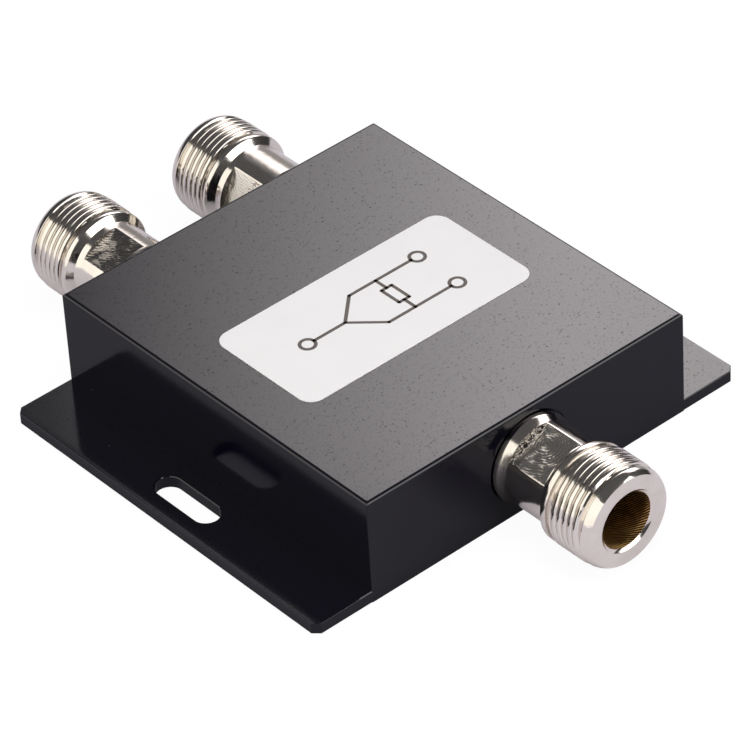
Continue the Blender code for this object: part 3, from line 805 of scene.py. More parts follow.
@dataclass(frozen=True)
class MilledFinish:
    """Nickel plate on the milled wrench flats, with the cutter's arcs showing and a painted highlight along
    their crests.
    """

    name: str
    centre: Point = (-0.00055, -0.00126)
    pitch: float = 0.00046
    wobble: float = 0.2
    chatter: float = 1.0
    tone: Colour = (0.72, 0.68, 0.63)
    crest_highlight_tone: Colour = (0.95, 0.91, 0.85)
    torn_tone: Colour = (0.06, 0.052, 0.045)
    roughness: float = 0.24
    bump: float = 0.9
    bump_height: float = 0.00006

    def build(self, shelf: EffectShelf) -> bpy.types.Material:
        """Builds the material.

        Args:
            shelf: The shared effects.

        Returns:
            The material.
        """
        material, sheet, shader = blank_material(self.name)
        marks = sheet.group(shelf.trees[Effect.MILLING], {
            "Place": stored_place(sheet, "flat_place"), "Centre X": self.centre[0],
            "Centre Y": self.centre[1], "Pitch": self.pitch, "Wobble": self.wobble, "Chatter": self.chatter})
        # Painted highlight: the arcs' crests get a paler metal colour.
        crest_highlighted = sheet.blend(marks.outputs["Bright"], self.tone, self.crest_highlight_tone)
        sheet.feed(shader, "Base Color", sheet.blend(marks.outputs["Torn"], crest_highlighted, self.torn_tone))
        sheet.feed(shader, "Metallic", 1.0)
        sheet.feed(shader, "Roughness", self.roughness)
        bump = sheet.add("Bump", {"Height": marks.outputs["Height"], "Strength": self.bump,
                                  "Distance": self.bump_height})
        sheet.feed(shader, "Normal", bump.outputs[0])
        return material


@dataclass(frozen=True)
class BoreFinish:
    """Gilt brass of a bore, coloured near-black as painted shade deep in the bore, with painted gold
    highlights in patches along its slanting ridges.
    """

    name: str
    tone: Colour = (1.0, 0.64, 0.24)
    painted_bore_shade_tone: Colour = (0.05, 0.022, 0.008)
    count: float = 60.0
    slant: float = 244.0
    cloud_size: float = 0.0009
    cloud_rise: Rise = (0.3, 0.7, 0.4)
    roughness: float = 0.5
    ridge_roughness: float = 0.26
    bump: float = 0.9
    bump_height: float = 0.00005

    def build(self, shelf: EffectShelf) -> bpy.types.Material:
        """Builds the material.

        Args:
            shelf: The shared effects.

        Returns:
            The material.
        """
        material, sheet, shader = blank_material(self.name)
        marks = sheet.group(shelf.trees[Effect.FLUTES], {"Place": stored_place(sheet, "turned_place"),
                                                         "Count": self.count, "Slant": self.slant})
        cloud = sheet.noise(object_place(sheet), self.cloud_size)
        # Painted highlight and shade: gold on the ridge tops in patches, near-black painted shade between
        # them.
        painted_ridge_glint = sheet.math("MULTIPLY", marks.outputs["Ridge"], sheet.ramp(cloud, *self.cloud_rise, 1.0))
        sheet.feed(shader, "Base Color", sheet.blend(painted_ridge_glint, self.painted_bore_shade_tone, self.tone))
        sheet.feed(shader, "Metallic", 1.0)
        sheet.feed(shader, "Roughness", sheet.ramp(painted_ridge_glint, 0.0, 1.0, self.roughness, self.ridge_roughness))
        bump = sheet.add("Bump", {"Height": marks.outputs["Height"], "Strength": self.bump,
                                  "Distance": self.bump_height})
        sheet.feed(shader, "Normal", bump.outputs[0])
        return material


@dataclass(frozen=True)
class MetalFinish:
    """A plain metal with slow patches and fine grain, for contacts, screws and the track."""

    name: str
    tone: Colour
    dull_tone: Colour
    roughness: float
    duller: float = 0.12
    patch: float = 0.002
    grain: float = 0.0001
    bump: float = 0.2
    bump_height: float = 0.00003

    def build(self, shelf: EffectShelf) -> bpy.types.Material:
        """Builds the material.

        Args:
            shelf: The shared effects.

        Returns:
            The material.
        """
        material, sheet, shader = blank_material(self.name)
        place = object_place(sheet)
        tarnish = sheet.group(shelf.trees[Effect.TARNISH], {"Place": place, "Patch": self.patch})
        sheet.feed(shader, "Base Color", sheet.blend(tarnish.outputs["Mask"], self.tone, self.dull_tone))
        sheet.feed(shader, "Metallic", 1.0)
        sheet.feed(shader, "Roughness", sheet.ramp(tarnish.outputs["Mask"], 0.0, 1.0, self.roughness,
                                                   self.roughness + self.duller))
        bump = sheet.add("Bump", {"Height": sheet.noise(place, self.grain), "Strength": self.bump,
                                  "Distance": self.bump_height})
        sheet.feed(shader, "Normal", bump.outputs[0])
        return material


@dataclass(frozen=True)
class SolidFinish:
    """A non-metal with slow colour patches and fine grain: plastic, laminate, ceramic, paper or ink."""

    name: str
    tone: Colour
    second_tone: Colour
    roughness: float
    spread: float = 0.05
    cloud_range: Point = (0.3, 0.7)
    grain_range: Point = (0.2, 0.8)
    grain: float = 0.0004
    bump: float = 0.1
    bump_height: float = 0.00004
    specular: float = 0.5

    def build(self, shelf: EffectShelf) -> bpy.types.Material:
        """Builds the material.

        Args:
            shelf: The shared effects.

        Returns:
            The material.
        """
        material, sheet, shader = blank_material(self.name)
        fibre = sheet.group(shelf.trees[Effect.FIBRE], {"Place": object_place(sheet), "Size": self.grain})
        amount = sheet.ramp(fibre.outputs["Cloud"], *self.cloud_range)
        sheet.feed(shader, "Base Color", sheet.blend(amount, self.tone, self.second_tone))
        sheet.feed(shader, "Roughness", sheet.ramp(fibre.outputs["Height"], *self.grain_range,
                                                   self.roughness - self.spread,
                                                   self.roughness + self.spread))
        sheet.feed(shader, "Specular IOR Level", self.specular)
        bump = sheet.add("Bump", {"Height": fibre.outputs["Height"], "Strength": self.bump,
                                  "Distance": self.bump_height})
        sheet.feed(shader, "Normal", bump.outputs[0])
        return material


# The part.


@dataclass
class Housing:
    """The milled housing: box, slotted flanges, pocket, columns, posts and socket seats."""

    width: float = 59.5 * MM
    length: float = 66.0 * MM
    height: float = 17.5 * MM
    edge_reach: float = 0.62 * MM
    edge_drop: float = 0.50 * MM
    edge_steps: int = 7
    lip_reach: float = 2.4 * MM
    lip: float = 0.012 * MM
    upright_edge: float = 0.13 * MM
    flange_reach: float = 10.25 * MM
    flange_thickness: float = 2.0 * MM
    flange_chamfer: float = 1.0 * MM
    fine_edge: float = 0.12 * MM
    slot_width: float = 4.2 * MM
    slot_length: float = 12.5 * MM
    slot_inset: float = 4.8 * MM
    end_wall: float = 5.5 * MM
    side_wall: float = 3.0 * MM
    roof: float = 2.5 * MM
    pocket_radius: float = 3.0 * MM
    ledge: float = 1.5 * MM
    ledge_height: float = 2.0 * MM
    column_radius: float = 2.9 * MM
    column_overlap: float = 0.3 * MM
    post_radius: float = 2.6 * MM
    root: float = 0.6 * MM
    board_side_gap: float = 0.6 * MM
    board_end_gap: float = 0.5 * MM
    board_screw_inset: float = 3.2 * MM
    post_low: float = 11.52 * MM
    screw_hole: float = 1.45 * MM
    cover_hole_top: float = 7.2 * MM
    board_hole_top: float = 14.52 * MM
    seat_radius: float = 7.35 * MM
    seat_depth: float = 0.3 * MM
    seat_edge: float = 0.08 * MM
    tail_hole: float = 5.7 * MM
    output_x: float = 13.5 * MM
    upright_steps: int = 3
    corner_steps: int = 8
    slot_steps: int = 16
    hole_facets: int = 24
    column_facets: int = 32
    seat_facets: int = 96

    def block(self) -> bpy.types.Object:
        """Builds the box: top edges rounded under a slightly fat lip of lacquer, uprights just broken.

        Returns:
            The box, which the other bodies are joined to and cut from.
        """
        rows = [(0.0, 0.0)]
        for index in range(self.edge_steps + 1):
            angle = pi / 2 * index / self.edge_steps
            drop, inset = self.edge_drop * (1 - sin(angle)), self.edge_reach * (1 - cos(angle))
            rows.append((self.height - drop, inset))
        rows.append((self.height - self.lip, self.edge_reach + self.lip_reach))
        layers = [(height, round_rectangle(self.width / 2 - inset, self.length / 2 - inset,
                                           self.upright_edge, self.upright_steps))
                  for height, inset in rows]
        bm = bmesh.new()
        add_prism(bm, layers)
        return make_object("housing_shell", bm)

    def plate(self) -> bmesh.types.BMesh:
        """Builds the plate whose two ends are the flanges.

        Returns:
            The plate's mesh.
        """
        bm = bmesh.new()
        half_x = self.width / 2 + self.flange_reach
        half_y = self.length / 2
        cut = self.flange_chamfer
        rows: list[tuple[float, list[Point]]] = []
        fine = self.fine_edge
        for height, inset in ((0.0, fine), (fine, 0.0), (self.flange_thickness - fine, 0.0),
                              (self.flange_thickness, fine)):
            x, y = half_x - inset, half_y - inset
            rows.append((height, [(-x, -y + cut), (-x + cut, -y), (x - cut, -y), (x, -y + cut),
                                  (x, y - cut), (x - cut, y), (-x + cut, y), (-x, y - cut)]))
        add_prism(bm, rows)
        return bm

    def columns_at(self) -> list[Point]:
        """Gives the axes of the six cover screws.

        Returns:
            The axes, left side first, each side from front to back.
        """
        x = self.width / 2 - self.side_wall + self.column_overlap - self.column_radius
        y = self.length / 2 - self.end_wall + self.column_overlap - self.column_radius
        return [(side * x, row * y) for side in (-1, 1) for row in (-1, 0, 1)]

    def posts_at(self) -> list[Point]:
        """Gives the axes of the four board screws.

        Returns:
            The axes, left side first, each side from front to back.
        """
        column_x = self.width / 2 - self.side_wall + self.column_overlap - self.column_radius
        x = column_x - self.column_radius - self.board_side_gap - self.board_screw_inset
        y = self.length / 2 - self.end_wall - self.board_end_gap - self.board_screw_inset
        return [(side * x, row * y) for side in (-1, 1) for row in (-1, 1)]

    def hollow(self, grow: float, top: float) -> bmesh.types.BMesh:
        """Builds a body that the milling takes out from below.

        Args:
            grow: How much it reaches past the pocket's outline.
            top: Height at which it ends.

        Returns:
            The body's mesh.
        """
        bm = bmesh.new()
        half_x = self.width / 2 - self.side_wall + grow
        half_y = self.length / 2 - self.end_wall + grow
        outline = round_rectangle(half_x, half_y, self.pocket_radius + grow, self.corner_steps)
        add_prism(bm, [(-MM, outline), (top, outline)])
        return bm

    def pillars(self) -> bmesh.types.BMesh:
        """Builds the screw columns and the board posts.

        Returns:
            The mesh of all ten.
        """
        bm = bmesh.new()
        top = self.height - self.roof + self.root
        for places, radius, low in ((self.columns_at(), self.column_radius, self.ledge_height),
                                    (self.posts_at(), self.post_radius, self.post_low)):
            for place in places:
                outline = circle_points(radius, self.column_facets, place)
                add_prism(bm, [(low, outline), (top, outline)])
        return bm

    def holes(self) -> bmesh.types.BMesh:
        """Builds the screw holes, the flange slots and the socket seats as one set of tools.

        Returns:
            The mesh of the tools.
        """
        bm = bmesh.new()
        for places, low, top in ((self.columns_at(), MM, self.cover_hole_top),
                                 (self.posts_at(), self.post_low - MM, self.board_hole_top)):
            for place in places:
                outline = circle_points(self.screw_hole, self.hole_facets, place)
                add_prism(bm, [(low, outline), (top, outline)])
        fine = self.fine_edge
        for side in (-1, 1):
            centre = (side * (self.width / 2 + self.flange_reach - self.slot_inset), 0.0)
            layers: list[tuple[float, list[Point]]] = []
            for height, grow in ((-MM, fine + MM), (fine, 0.0), (self.flange_thickness - fine, 0.0),
                                 (self.flange_thickness + MM, fine + MM)):
                layers.append((height, slot_points(self.slot_width + 2 * grow, self.slot_length + 2 * grow,
                                                   self.slot_steps, centre)))
            add_prism(bm, layers)
        profile = soften([
            (0.0, -self.end_wall - MM, 0.0), (self.tail_hole, -self.end_wall - MM, 0.0),
            (self.tail_hole, -self.seat_depth, 0.0), (self.seat_radius, -self.seat_depth, 0.0),
            (self.seat_radius, -self.seat_edge, 0.0), (self.seat_radius + MM, MM - self.seat_edge, 0.0),
            (0.0, MM - self.seat_edge, 0.0)])
        for column, wall in ((0, Wall.FRONT), (-1, Wall.BACK), (1, Wall.BACK)):
            add_turned(bm, profile, self.seat_facets, socket_matrix(self, column, wall))
        return bm

    def build(self, finish: bpy.types.Material) -> bpy.types.Object:
        """Builds the housing and dresses it.

        Args:
            finish: The lacquer.

        Returns:
            The piece.
        """
        piece = self.block()
        carve(piece, self.plate(), "UNION")
        carve(piece, self.hollow(0.0, self.height - self.roof))
        carve(piece, self.hollow(self.ledge, self.ledge_height))
        carve(piece, self.pillars(), "UNION")
        carve(piece, self.holes())
        even_normals(piece)
        coat(piece, finish)
        dress(piece, "housing_paint", "housing")
        return piece


def socket_matrix(housing: Housing, column: int, wall: Wall) -> Matrix:
    """Gives the place of a socket, with local +Z out of the wall.

    Args:
        housing: The housing that carries it.
        column: Side along X; 0 is the middle.
        wall: The wall it stands on.

    Returns:
        The matrix from the socket's own axes to the frame's.
    """
    place = Vector((column * housing.output_x, wall.value * housing.length / 2, housing.height / 2))
    turned = Matrix.Rotation(pi / 2, 4, "X")
    if wall is Wall.BACK:
        turned = Matrix.Rotation(pi, 4, "Z") @ turned
    return Matrix.Translation(place) @ turned


@dataclass
class Ring:
    """One ring of points on a socket shell."""

    radius: float
    station: float
    flat: bool = False
    skin: int = 0


@dataclass
class SocketShell:
    """A turned socket shell with a helical thread and wrench flats."""

    name: str
    column: int
    wall: Wall
    flat_angle: float
    milled: MilledFinish
    sharp: float = 28.0
    columns: int = 288
    edge_pair: float = 0.012
    edge_clear: float = 0.018
    flat_margin: float = 0.008
    foot_radius: float = 7.15 * MM
    foot_length: float = 0.75 * MM
    root_end: float = 2.08 * MM
    neck_radius: float = 6.67 * MM
    neck_end: float = 9.4 * MM
    cone_end: float = 10.4 * MM
    collar_radius: float = 7.85 * MM
    collar_end: float = 11.4 * MM
    runout_radius: float = 7.30 * MM
    thread_start: float = 12.0 * MM
    thread_end: float = 17.8 * MM
    thread_radius: float = 7.9375 * MM
    thread_depth: float = 0.46 * MM
    thread_pitch: float = 25.4 / 24 * MM
    runout_slope: float = 2.2
    relief_slope: float = 1.5
    relief_radius: float = 7.20 * MM
    relief_end: float = 18.1 * MM
    nose_start: float = 18.33 * MM
    nose_radius: float = 7.76 * MM
    nose_round: float = 1.28 * MM
    nose_from: float = radians(10.0)
    nose_to: float = radians(36.0)
    nose_steps: int = 7
    face_radius: float = 7.20 * MM
    face: float = 19.75 * MM
    flat_half: float = 5.42 * MM
    flat_low: float = 2.1 * MM
    flat_high: float = 9.2 * MM
    flat_steps: int = 8
    shallow: float = 0.02 * MM
    marks_from: float = 5.2 * MM
    mouth_radius: float = 4.9 * MM
    mouth_low_radius: float = 4.5 * MM
    mouth_depth: float = 0.35 * MM
    fine_edge: float = 0.06 * MM
    foot_cut: float = 0.22 * MM
    neck_cut: float = 0.04 * MM
    cone_cut: float = 0.25 * MM
    collar_cut: float = 0.07 * MM
    bore_step: Point = (0.04 * MM, 0.02 * MM)
    bore_shares: tuple[float, ...] = (0.3, 0.65, 1.0)
    bore_radius: float = 4.1 * MM
    bore_depth: float = 9.1 * MM
    lip_radius: float = 3.5 * MM
    lip_length: float = 1.5 * MM
    bead_radius: float = 3.9 * MM
    tail_radius: float = 5.5 * MM
    back: float = -5.5 * MM

    def turned_flat(self) -> float:
        """Gives the flats' angle in the socket's own axes."""
        return self.flat_angle if self.wall is Wall.FRONT else pi - self.flat_angle

    def angles(self) -> list[float]:
        """Gives the angles of the mesh's columns, with crisp pairs at the edges of the flats.

        Returns:
            The angles, from 0 to a full turn, both included.
        """
        flat = self.turned_flat()
        reach = atan2((self.neck_radius ** 2 - self.flat_half ** 2) ** 0.5, self.flat_half)
        wanted = {round(2 * pi * i / self.columns, 6) for i in range(self.columns)}
        for middle in (flat, flat + pi):
            for edge in (middle - reach, middle + reach):
                at = edge % (2 * pi)
                wanted = {angle for angle in wanted if abs(angle - at) > self.edge_clear}
                wanted |= {round((at + shift) % (2 * pi), 6) for shift in (-self.edge_pair, self.edge_pair)}
        return [*sorted(wanted | {0.0}), 2 * pi]

    def outside(self) -> list[Ring]:
        """Gives the rings from the foot to the start of the thread.

        Returns:
            The rings, in order.
        """
        corners = [
            (self.foot_radius, 0.0, 0.0), (self.foot_radius, self.foot_length, self.foot_cut),
            (self.neck_radius, self.root_end, 0.0), (self.neck_radius, self.neck_end, self.neck_cut),
            (self.collar_radius, self.cone_end, self.cone_cut),
            (self.collar_radius, self.collar_end, self.collar_cut),
            (self.runout_radius, self.collar_end, 0.0), (self.runout_radius, self.thread_start, 0.0)]
        return self.with_flats([Ring(radius, station) for radius, station in soften(corners, closed=False)])

    def with_flats(self, rings: list[Ring]) -> list[Ring]:
        """Adds the rings that bound the flats on the neck.

        Args:
            rings: Rings of the outside, from the wall on.

        Returns:
            The rings with those of the flats among them.
        """
        made: list[Ring] = []
        for ring in rings:
            if ring.station > self.flat_high and made and made[-1].station <= self.flat_low:
                made.append(Ring(self.neck_radius, self.flat_low))
                for index in range(self.flat_steps + 1):
                    station = self.flat_low + (self.flat_high - self.flat_low) * index / self.flat_steps
                    made.append(Ring(self.neck_radius, station, flat=True))
                made.append(Ring(self.neck_radius, self.flat_high))
            made.append(ring)
        return made

    def nose(self) -> list[Ring]:
        """Gives the rings from the end of the thread over the face to the mouth.

        Returns:
            The rings, in order.
        """
        fine = self.fine_edge
        corners = [
            (self.relief_radius, self.thread_end, 0.0), (self.relief_radius, self.relief_end, fine),
            (self.nose_radius, self.nose_start, fine),
            (self.nose_radius, self.face - self.nose_round, 0.0)]
        low, high = self.nose_from, self.nose_to
        drop = self.nose_radius - self.face_radius
        for index in range(1, self.nose_steps + 1):
            angle = low + (high - low) * index / self.nose_steps
            radial = (cos(low) - cos(angle)) / (cos(low) - cos(high))
            axial = (sin(angle) - sin(low)) / (sin(high) - sin(low))
            station = self.face - self.nose_round * (1 - axial)
            corners.append((self.nose_radius - drop * radial, station, 0.0))
        corners += [(self.mouth_radius + fine, self.face, 0.0),
                    (self.mouth_radius, self.face - fine, 0.0),
                    (self.mouth_low_radius, self.face - self.mouth_depth, 0.0)]
        return [Ring(radius, station) for radius, station in soften(corners, closed=False)]

    def bore(self) -> list[Ring]:
        """Gives the rings of the bore, the lip that holds the bead, and the tail.

        Returns:
            The rings, in order, the last one closing on the foot.
        """
        step = self.face - self.mouth_depth
        low = self.face - self.bore_depth
        rings = [Ring(self.mouth_low_radius - self.bore_step[0], step - self.bore_step[1], skin=2)]
        for share in self.bore_shares:
            radius = self.mouth_low_radius + (self.bore_radius - self.mouth_low_radius) * share ** 0.5
            rings.append(Ring(radius, step - share * MM, skin=2))
        lip_back = low - self.lip_length
        for radius, station in ((self.bore_radius, low), (self.lip_radius, low), (self.lip_radius, lip_back),
                                (self.bead_radius, lip_back), (self.bead_radius, self.back)):
            rings.append(Ring(radius, station, skin=2))
        return [*rings, Ring(self.tail_radius, self.back), Ring(self.tail_radius, 0.0),
                Ring(self.foot_radius, 0.0)]

    def thread_rows(self, angles: Sequence[float]) -> list[list[Point]]:
        """Gives the thread's rows, each a (radius, station) for every angle.

        Args:
            angles: Angles of the columns.

        Returns:
            Rows that follow the helix and are held at both ends of the thread.
        """
        form = ((0.0, 1.0), (0.05, 0.74), (0.10, 0.45), (0.15, 0.25), (0.22, 0.11), (0.33, 0.03), (0.5, 0.0),
                (0.67, 0.03), (0.78, 0.11), (0.85, 0.25), (0.90, 0.45), (0.95, 0.74))
        length = self.thread_end - self.thread_start
        turns = floor(length / self.thread_pitch) + 2
        rows: list[list[Point]] = []
        for turn_number in range(-1, turns):
            for share, depth in form:
                row: list[Point] = []
                for angle in angles:
                    along = (turn_number + share + angle / (2 * pi)) * self.thread_pitch
                    held = min(max(along, 0.0), length)
                    radius = self.thread_radius - depth * self.thread_depth
                    low = self.runout_radius + held * self.runout_slope
                    high = self.relief_radius + (length - held) * self.relief_slope
                    row.append((min(radius, low, high), self.thread_start + held))
                rows.append(row)
        return rows

    def radius_at(self, ring: Ring, angle: float) -> float:
        """Gives a ring's radius at an angle, with the flats in it.

        Args:
            ring: The ring.
            angle: Angle of the point.

        Returns:
            The radius of the point.
        """
        lean = abs(cos(angle - self.turned_flat()))
        if ring.flat and lean * ring.radius > self.flat_half:
            return self.flat_half / lean
        return ring.radius

    def ring_rows(self, rings: Sequence[Ring], angles: Sequence[float]) -> list[list[Point]]:
        """Gives the rows of some rings, each a (radius, station) for every angle."""
        return [[(self.radius_at(ring, angle), ring.station) for angle in angles] for ring in rings]

    def build(self, housing: Housing, skins: Sequence[bpy.types.Material]) -> bpy.types.Object:
        """Builds the shell and dresses it.

        Args:
            housing: The housing that carries it.
            skins: Finishes of the turned outside, of the flats and of the bore.

        Returns:
            The piece.
        """
        angles = self.angles()
        outside, thread, inside = self.outside(), self.thread_rows(angles), self.nose() + self.bore()
        grid = [*self.ring_rows(outside, angles), *thread, *self.ring_rows(inside, angles)]
        kinds = [(ring.flat, ring.skin) for ring in outside] + [(False, 0)] * len(thread)
        kinds += [(ring.flat, ring.skin) for ring in inside]
        bm = self.surface(angles, grid, kinds)
        piece = make_object(f"socket_shell_{self.name}", bm, skins, self.sharp)
        even_normals(piece, self.sharp)
        piece.data.transform(socket_matrix(housing, self.column, self.wall))
        dress(piece, "socket_nickel", f"connector_{self.name}")
        return piece

    def surface(self, angles: Sequence[float], grid: Sequence[Sequence[Point]],
                kinds: Sequence[tuple[bool, int]]) -> bmesh.types.BMesh:
        """Joins the rings into one closed mesh and stores the places that the finishes read.

        Args:
            angles: Angles of the columns.
            grid: Radius and station of each point, row by row.
            kinds: For each row, whether it is on the flats, and its material slot.

        Returns:
            The closed mesh.
        """
        bm = bmesh.new()
        flat = self.turned_flat()
        turned = bm.verts.layers.float_vector.new("turned_place")
        milled = bm.verts.layers.float_vector.new("flat_place")
        rows: list[list[bmesh.types.BMVert]] = []
        for line in grid:
            row = []
            for angle, (radius, station) in zip(angles, line):
                vert = bm.verts.new((radius * cos(angle), radius * sin(angle), station))
                vert[turned] = (station, cos(angle), sin(angle))
                vert[milled] = (station - self.marks_from, radius * sin(angle - flat),
                                radius * cos(angle - flat))
                row.append(vert)
            rows.append(row)
        for index, (first, second) in enumerate(zip(rows, rows[1:])):
            on_flat = kinds[index][0] and kinds[index + 1][0]
            on_step = kinds[index + 1][0] and not kinds[index][0]
            skin = kinds[index + 1][1]
            for column in range(len(angles) - 1):
                corners = (first[column], first[column + 1], second[column + 1], second[column])
                face = bm.faces.new(corners)
                centre = sum((vert.co for vert in corners), Vector()) / 4
                away = hypot(centre.x, centre.y)
                lean = abs(cos(atan2(centre.y, centre.x) - flat))
                milled_here = (on_flat and lean > self.flat_half / self.neck_radius + self.flat_margin
                               or on_step and self.wall is Wall.FRONT
                               and away < self.neck_radius - self.shallow)
                face.material_index = 1 if milled_here else skin
        bmesh.ops.remove_doubles(bm, verts=bm.verts, dist=WELD)
        bmesh.ops.dissolve_degenerate(bm, edges=bm.edges, dist=NO_LENGTH)
        return bm


@dataclass
class RearSocketShell(SocketShell):
    """The shell of a rear socket, whose collar is narrower and stands further from the wall."""

    neck_end: float = 10.3 * MM
    cone_end: float = 11.15 * MM
    collar_end: float = 11.85 * MM
    thread_start: float = 12.4 * MM


@dataclass
class SocketCore:
    """The white bead and the gold contact inside a socket."""

    shell: SocketShell
    contact_radius: float = 1.52 * MM
    contact_bore: float = 0.83 * MM
    contact_bore_depth: float = 4.5 * MM
    tip_depth: float = 4.6 * MM
    slit: float = 0.3 * MM
    slit_length: float = 4.0 * MM
    shoulder_depth: float = 11.8 * MM
    stem_radius: float = 1.0 * MM
    solder_radius: float = 0.65 * MM
    solder_reach: float = 3.5 * MM
    gap: float = 0.2 * MM
    stem_gap: float = 0.15 * MM
    seat_gap: float = 0.3 * MM
    mouth_cut: float = 0.15 * MM
    tip_cut: float = 0.3 * MM
    shoulder_cut: float = 0.05 * MM
    tail_cut: float = 0.1 * MM
    hole_cut: float = 0.06 * MM
    body_cut: float = 0.08 * MM
    facets: int = 64

    def contact(self, matrix: Matrix, finish: bpy.types.Material) -> bpy.types.Object:
        """Builds the centre contact with its four springing fingers.

        Args:
            matrix: Place of the socket.
            finish: The gold plate.

        Returns:
            The piece.
        """
        shell = self.shell
        tip = shell.face - self.tip_depth
        floor_at = tip - self.contact_bore_depth
        shoulder = shell.face - self.shoulder_depth
        profile = soften([
            (0.0, floor_at, 0.0), (self.contact_bore, floor_at, 0.0),
            (self.contact_bore, tip, self.mouth_cut), (self.contact_radius, tip, self.tip_cut),
            (self.contact_radius, shoulder, self.shoulder_cut),
            (self.stem_radius, shoulder, 0.0), (self.stem_radius, shell.back, 0.0),
            (self.solder_radius, shell.back, 0.0),
            (self.solder_radius, shell.back - self.solder_reach, self.tail_cut),
            (0.0, shell.back - self.solder_reach, 0.0)])
        bm = bmesh.new()
        add_turned(bm, profile, self.facets, Matrix.Identity(4))
        piece = make_object(f"centre_contact_{shell.name}", bm, (finish,))
        half = self.slit / 2
        reach = self.contact_radius + MM
        cross: list[Point] = []
        for turn_number in range(4):
            turned = Matrix.Rotation(pi / 2 * turn_number, 2)
            arm = ((half, half), (half, reach), (-half, reach))
            cross += [tuple(turned @ Vector(point)) for point in arm]
        blades = bmesh.new()
        add_prism(blades, [(tip - self.slit_length, cross), (tip + MM, cross)])
        blades.transform(Matrix.Rotation(pi / 4, 4, "Z"))
        carve(piece, blades)
        even_normals(piece)
        piece.data.transform(matrix)
        dress(piece, "contact_gold", f"contact_{shell.name}")
        return piece

    def bead(self, matrix: Matrix, finish: bpy.types.Material) -> bpy.types.Object:
        """Builds the insulating bead.

        Args:
            matrix: Place of the socket.
            finish: The white plastic.

        Returns:
            The piece.
        """
        shell = self.shell
        front = shell.face - shell.bore_depth - self.gap
        lip_back = shell.face - shell.bore_depth - shell.lip_length - self.seat_gap
        seat = shell.face - self.shoulder_depth - self.seat_gap
        hole = self.contact_radius + self.stem_gap
        stem_hole = self.stem_radius + self.stem_gap
        lip = shell.lip_radius - self.gap
        body = shell.bead_radius - self.gap
        profile = soften([
            (hole, front, self.hole_cut), (lip, front, self.mouth_cut), (lip, lip_back, 0.0),
            (body, lip_back, self.body_cut), (body, shell.back, self.tail_cut), (stem_hole, shell.back, 0.0),
            (stem_hole, seat, 0.0), (hole, seat, 0.0)])
        bm = bmesh.new()
        add_turned(bm, profile, self.facets, matrix)
        piece = make_object(f"bead_{shell.name}", bm, (finish,))
        even_normals(piece)
        dress(piece, "insulator_white", f"insulator_{shell.name}")
        return piece

    def build(self, housing: Housing, gold: bpy.types.Material, white: bpy.types.Material) -> None:
        """Builds the bead and the contact.

        Args:
            housing: The housing that carries the socket.
            gold: Finish of the contact.
            white: Finish of the bead.
        """
        matrix = socket_matrix(housing, self.shell.column, self.shell.wall)
        self.contact(matrix, gold)
        self.bead(matrix, white)


@dataclass
class Underside:
    """The let-in bottom cover and the six screws that hold it."""

    housing: Housing
    sink: float = 0.2 * MM
    thickness: float = 1.5 * MM
    clearance: float = 0.2 * MM
    head_radius: float = 2.35 * MM
    head_rim: float = 0.3 * MM
    shank_radius: float = 1.25 * MM
    hole_growth: float = 0.2 * MM
    screw_length: float = 6.0 * MM
    hex_radius: float = 0.9 * MM
    hex_depth: float = 0.8 * MM
    hex_turn: float = 0.5
    head_cut: float = 0.1 * MM
    rim_cut: float = 0.05 * MM
    end_cut: float = 0.4 * MM
    fine_edge: float = 0.12 * MM
    facets: int = 40

    def cover(self, finish: bpy.types.Material) -> bpy.types.Object:
        """Builds the cover with its countersunk holes.

        Args:
            finish: The cover's lacquer.

        Returns:
            The piece.
        """
        house = self.housing
        x = house.width / 2 - house.side_wall + house.ledge - self.clearance
        y = house.length / 2 - house.end_wall + house.ledge - self.clearance
        radius = house.pocket_radius + house.ledge - self.clearance
        fine = self.fine_edge
        top = self.sink + self.thickness
        bm = bmesh.new()
        inner = round_rectangle(x - fine, y - fine, radius - fine, house.corner_steps)
        outer = round_rectangle(x, y, radius, house.corner_steps)
        add_prism(bm, [(self.sink, inner), (self.sink + fine, outer), (top, outer)])
        piece = make_object("cover_plate", bm)
        head = self.head_radius + self.hole_growth
        shank = self.shank_radius + self.hole_growth
        slope = head - shank
        rim = self.sink + self.head_rim
        profile = [(0.0, self.sink - MM), (head, self.sink - MM), (head, rim), (shank, rim + slope),
                   (shank, top + slope + MM), (0.0, top + slope + MM)]
        tools = bmesh.new()
        for place_x, place_y in house.columns_at():
            add_turned(tools, profile, self.facets, Matrix.Translation((place_x, place_y, 0.0)))
        carve(piece, tools)
        even_normals(piece)
        coat(piece, finish)
        dress(piece, "cover_paint", "bottom_cover")
        return piece

    def screws(self, finish: bpy.types.Material) -> None:
        """Builds the six screws, each with a hexagon socket.

        Args:
            finish: The screws' steel.
        """
        slope = self.head_radius - self.shank_radius
        profile = soften([
            (0.0, 0.0, 0.0), (self.head_radius, 0.0, self.head_cut),
            (self.head_radius, self.head_rim, self.rim_cut), (self.shank_radius, self.head_rim + slope, 0.0),
            (self.shank_radius, self.screw_length, self.end_cut),
            (0.0, self.screw_length, 0.0)])
        for number, (x, y) in enumerate(self.housing.columns_at(), start=1):
            bm = bmesh.new()
            add_turned(bm, profile, self.facets, Matrix.Translation((x, y, self.sink)))
            piece = make_object(f"countersunk_screw_{number}", bm)
            tool = bmesh.new()
            hexagon = arc_points((x, y), self.hex_radius, self.hex_turn * number, 2 * pi, 6)[:-1]
            add_prism(tool, [(self.sink - MM, hexagon), (self.sink + self.hex_depth, hexagon)])
            carve(piece, tool)
            even_normals(piece)
            coat(piece, finish)
            dress(piece, "screw_steel", f"cover_screw_{number}")


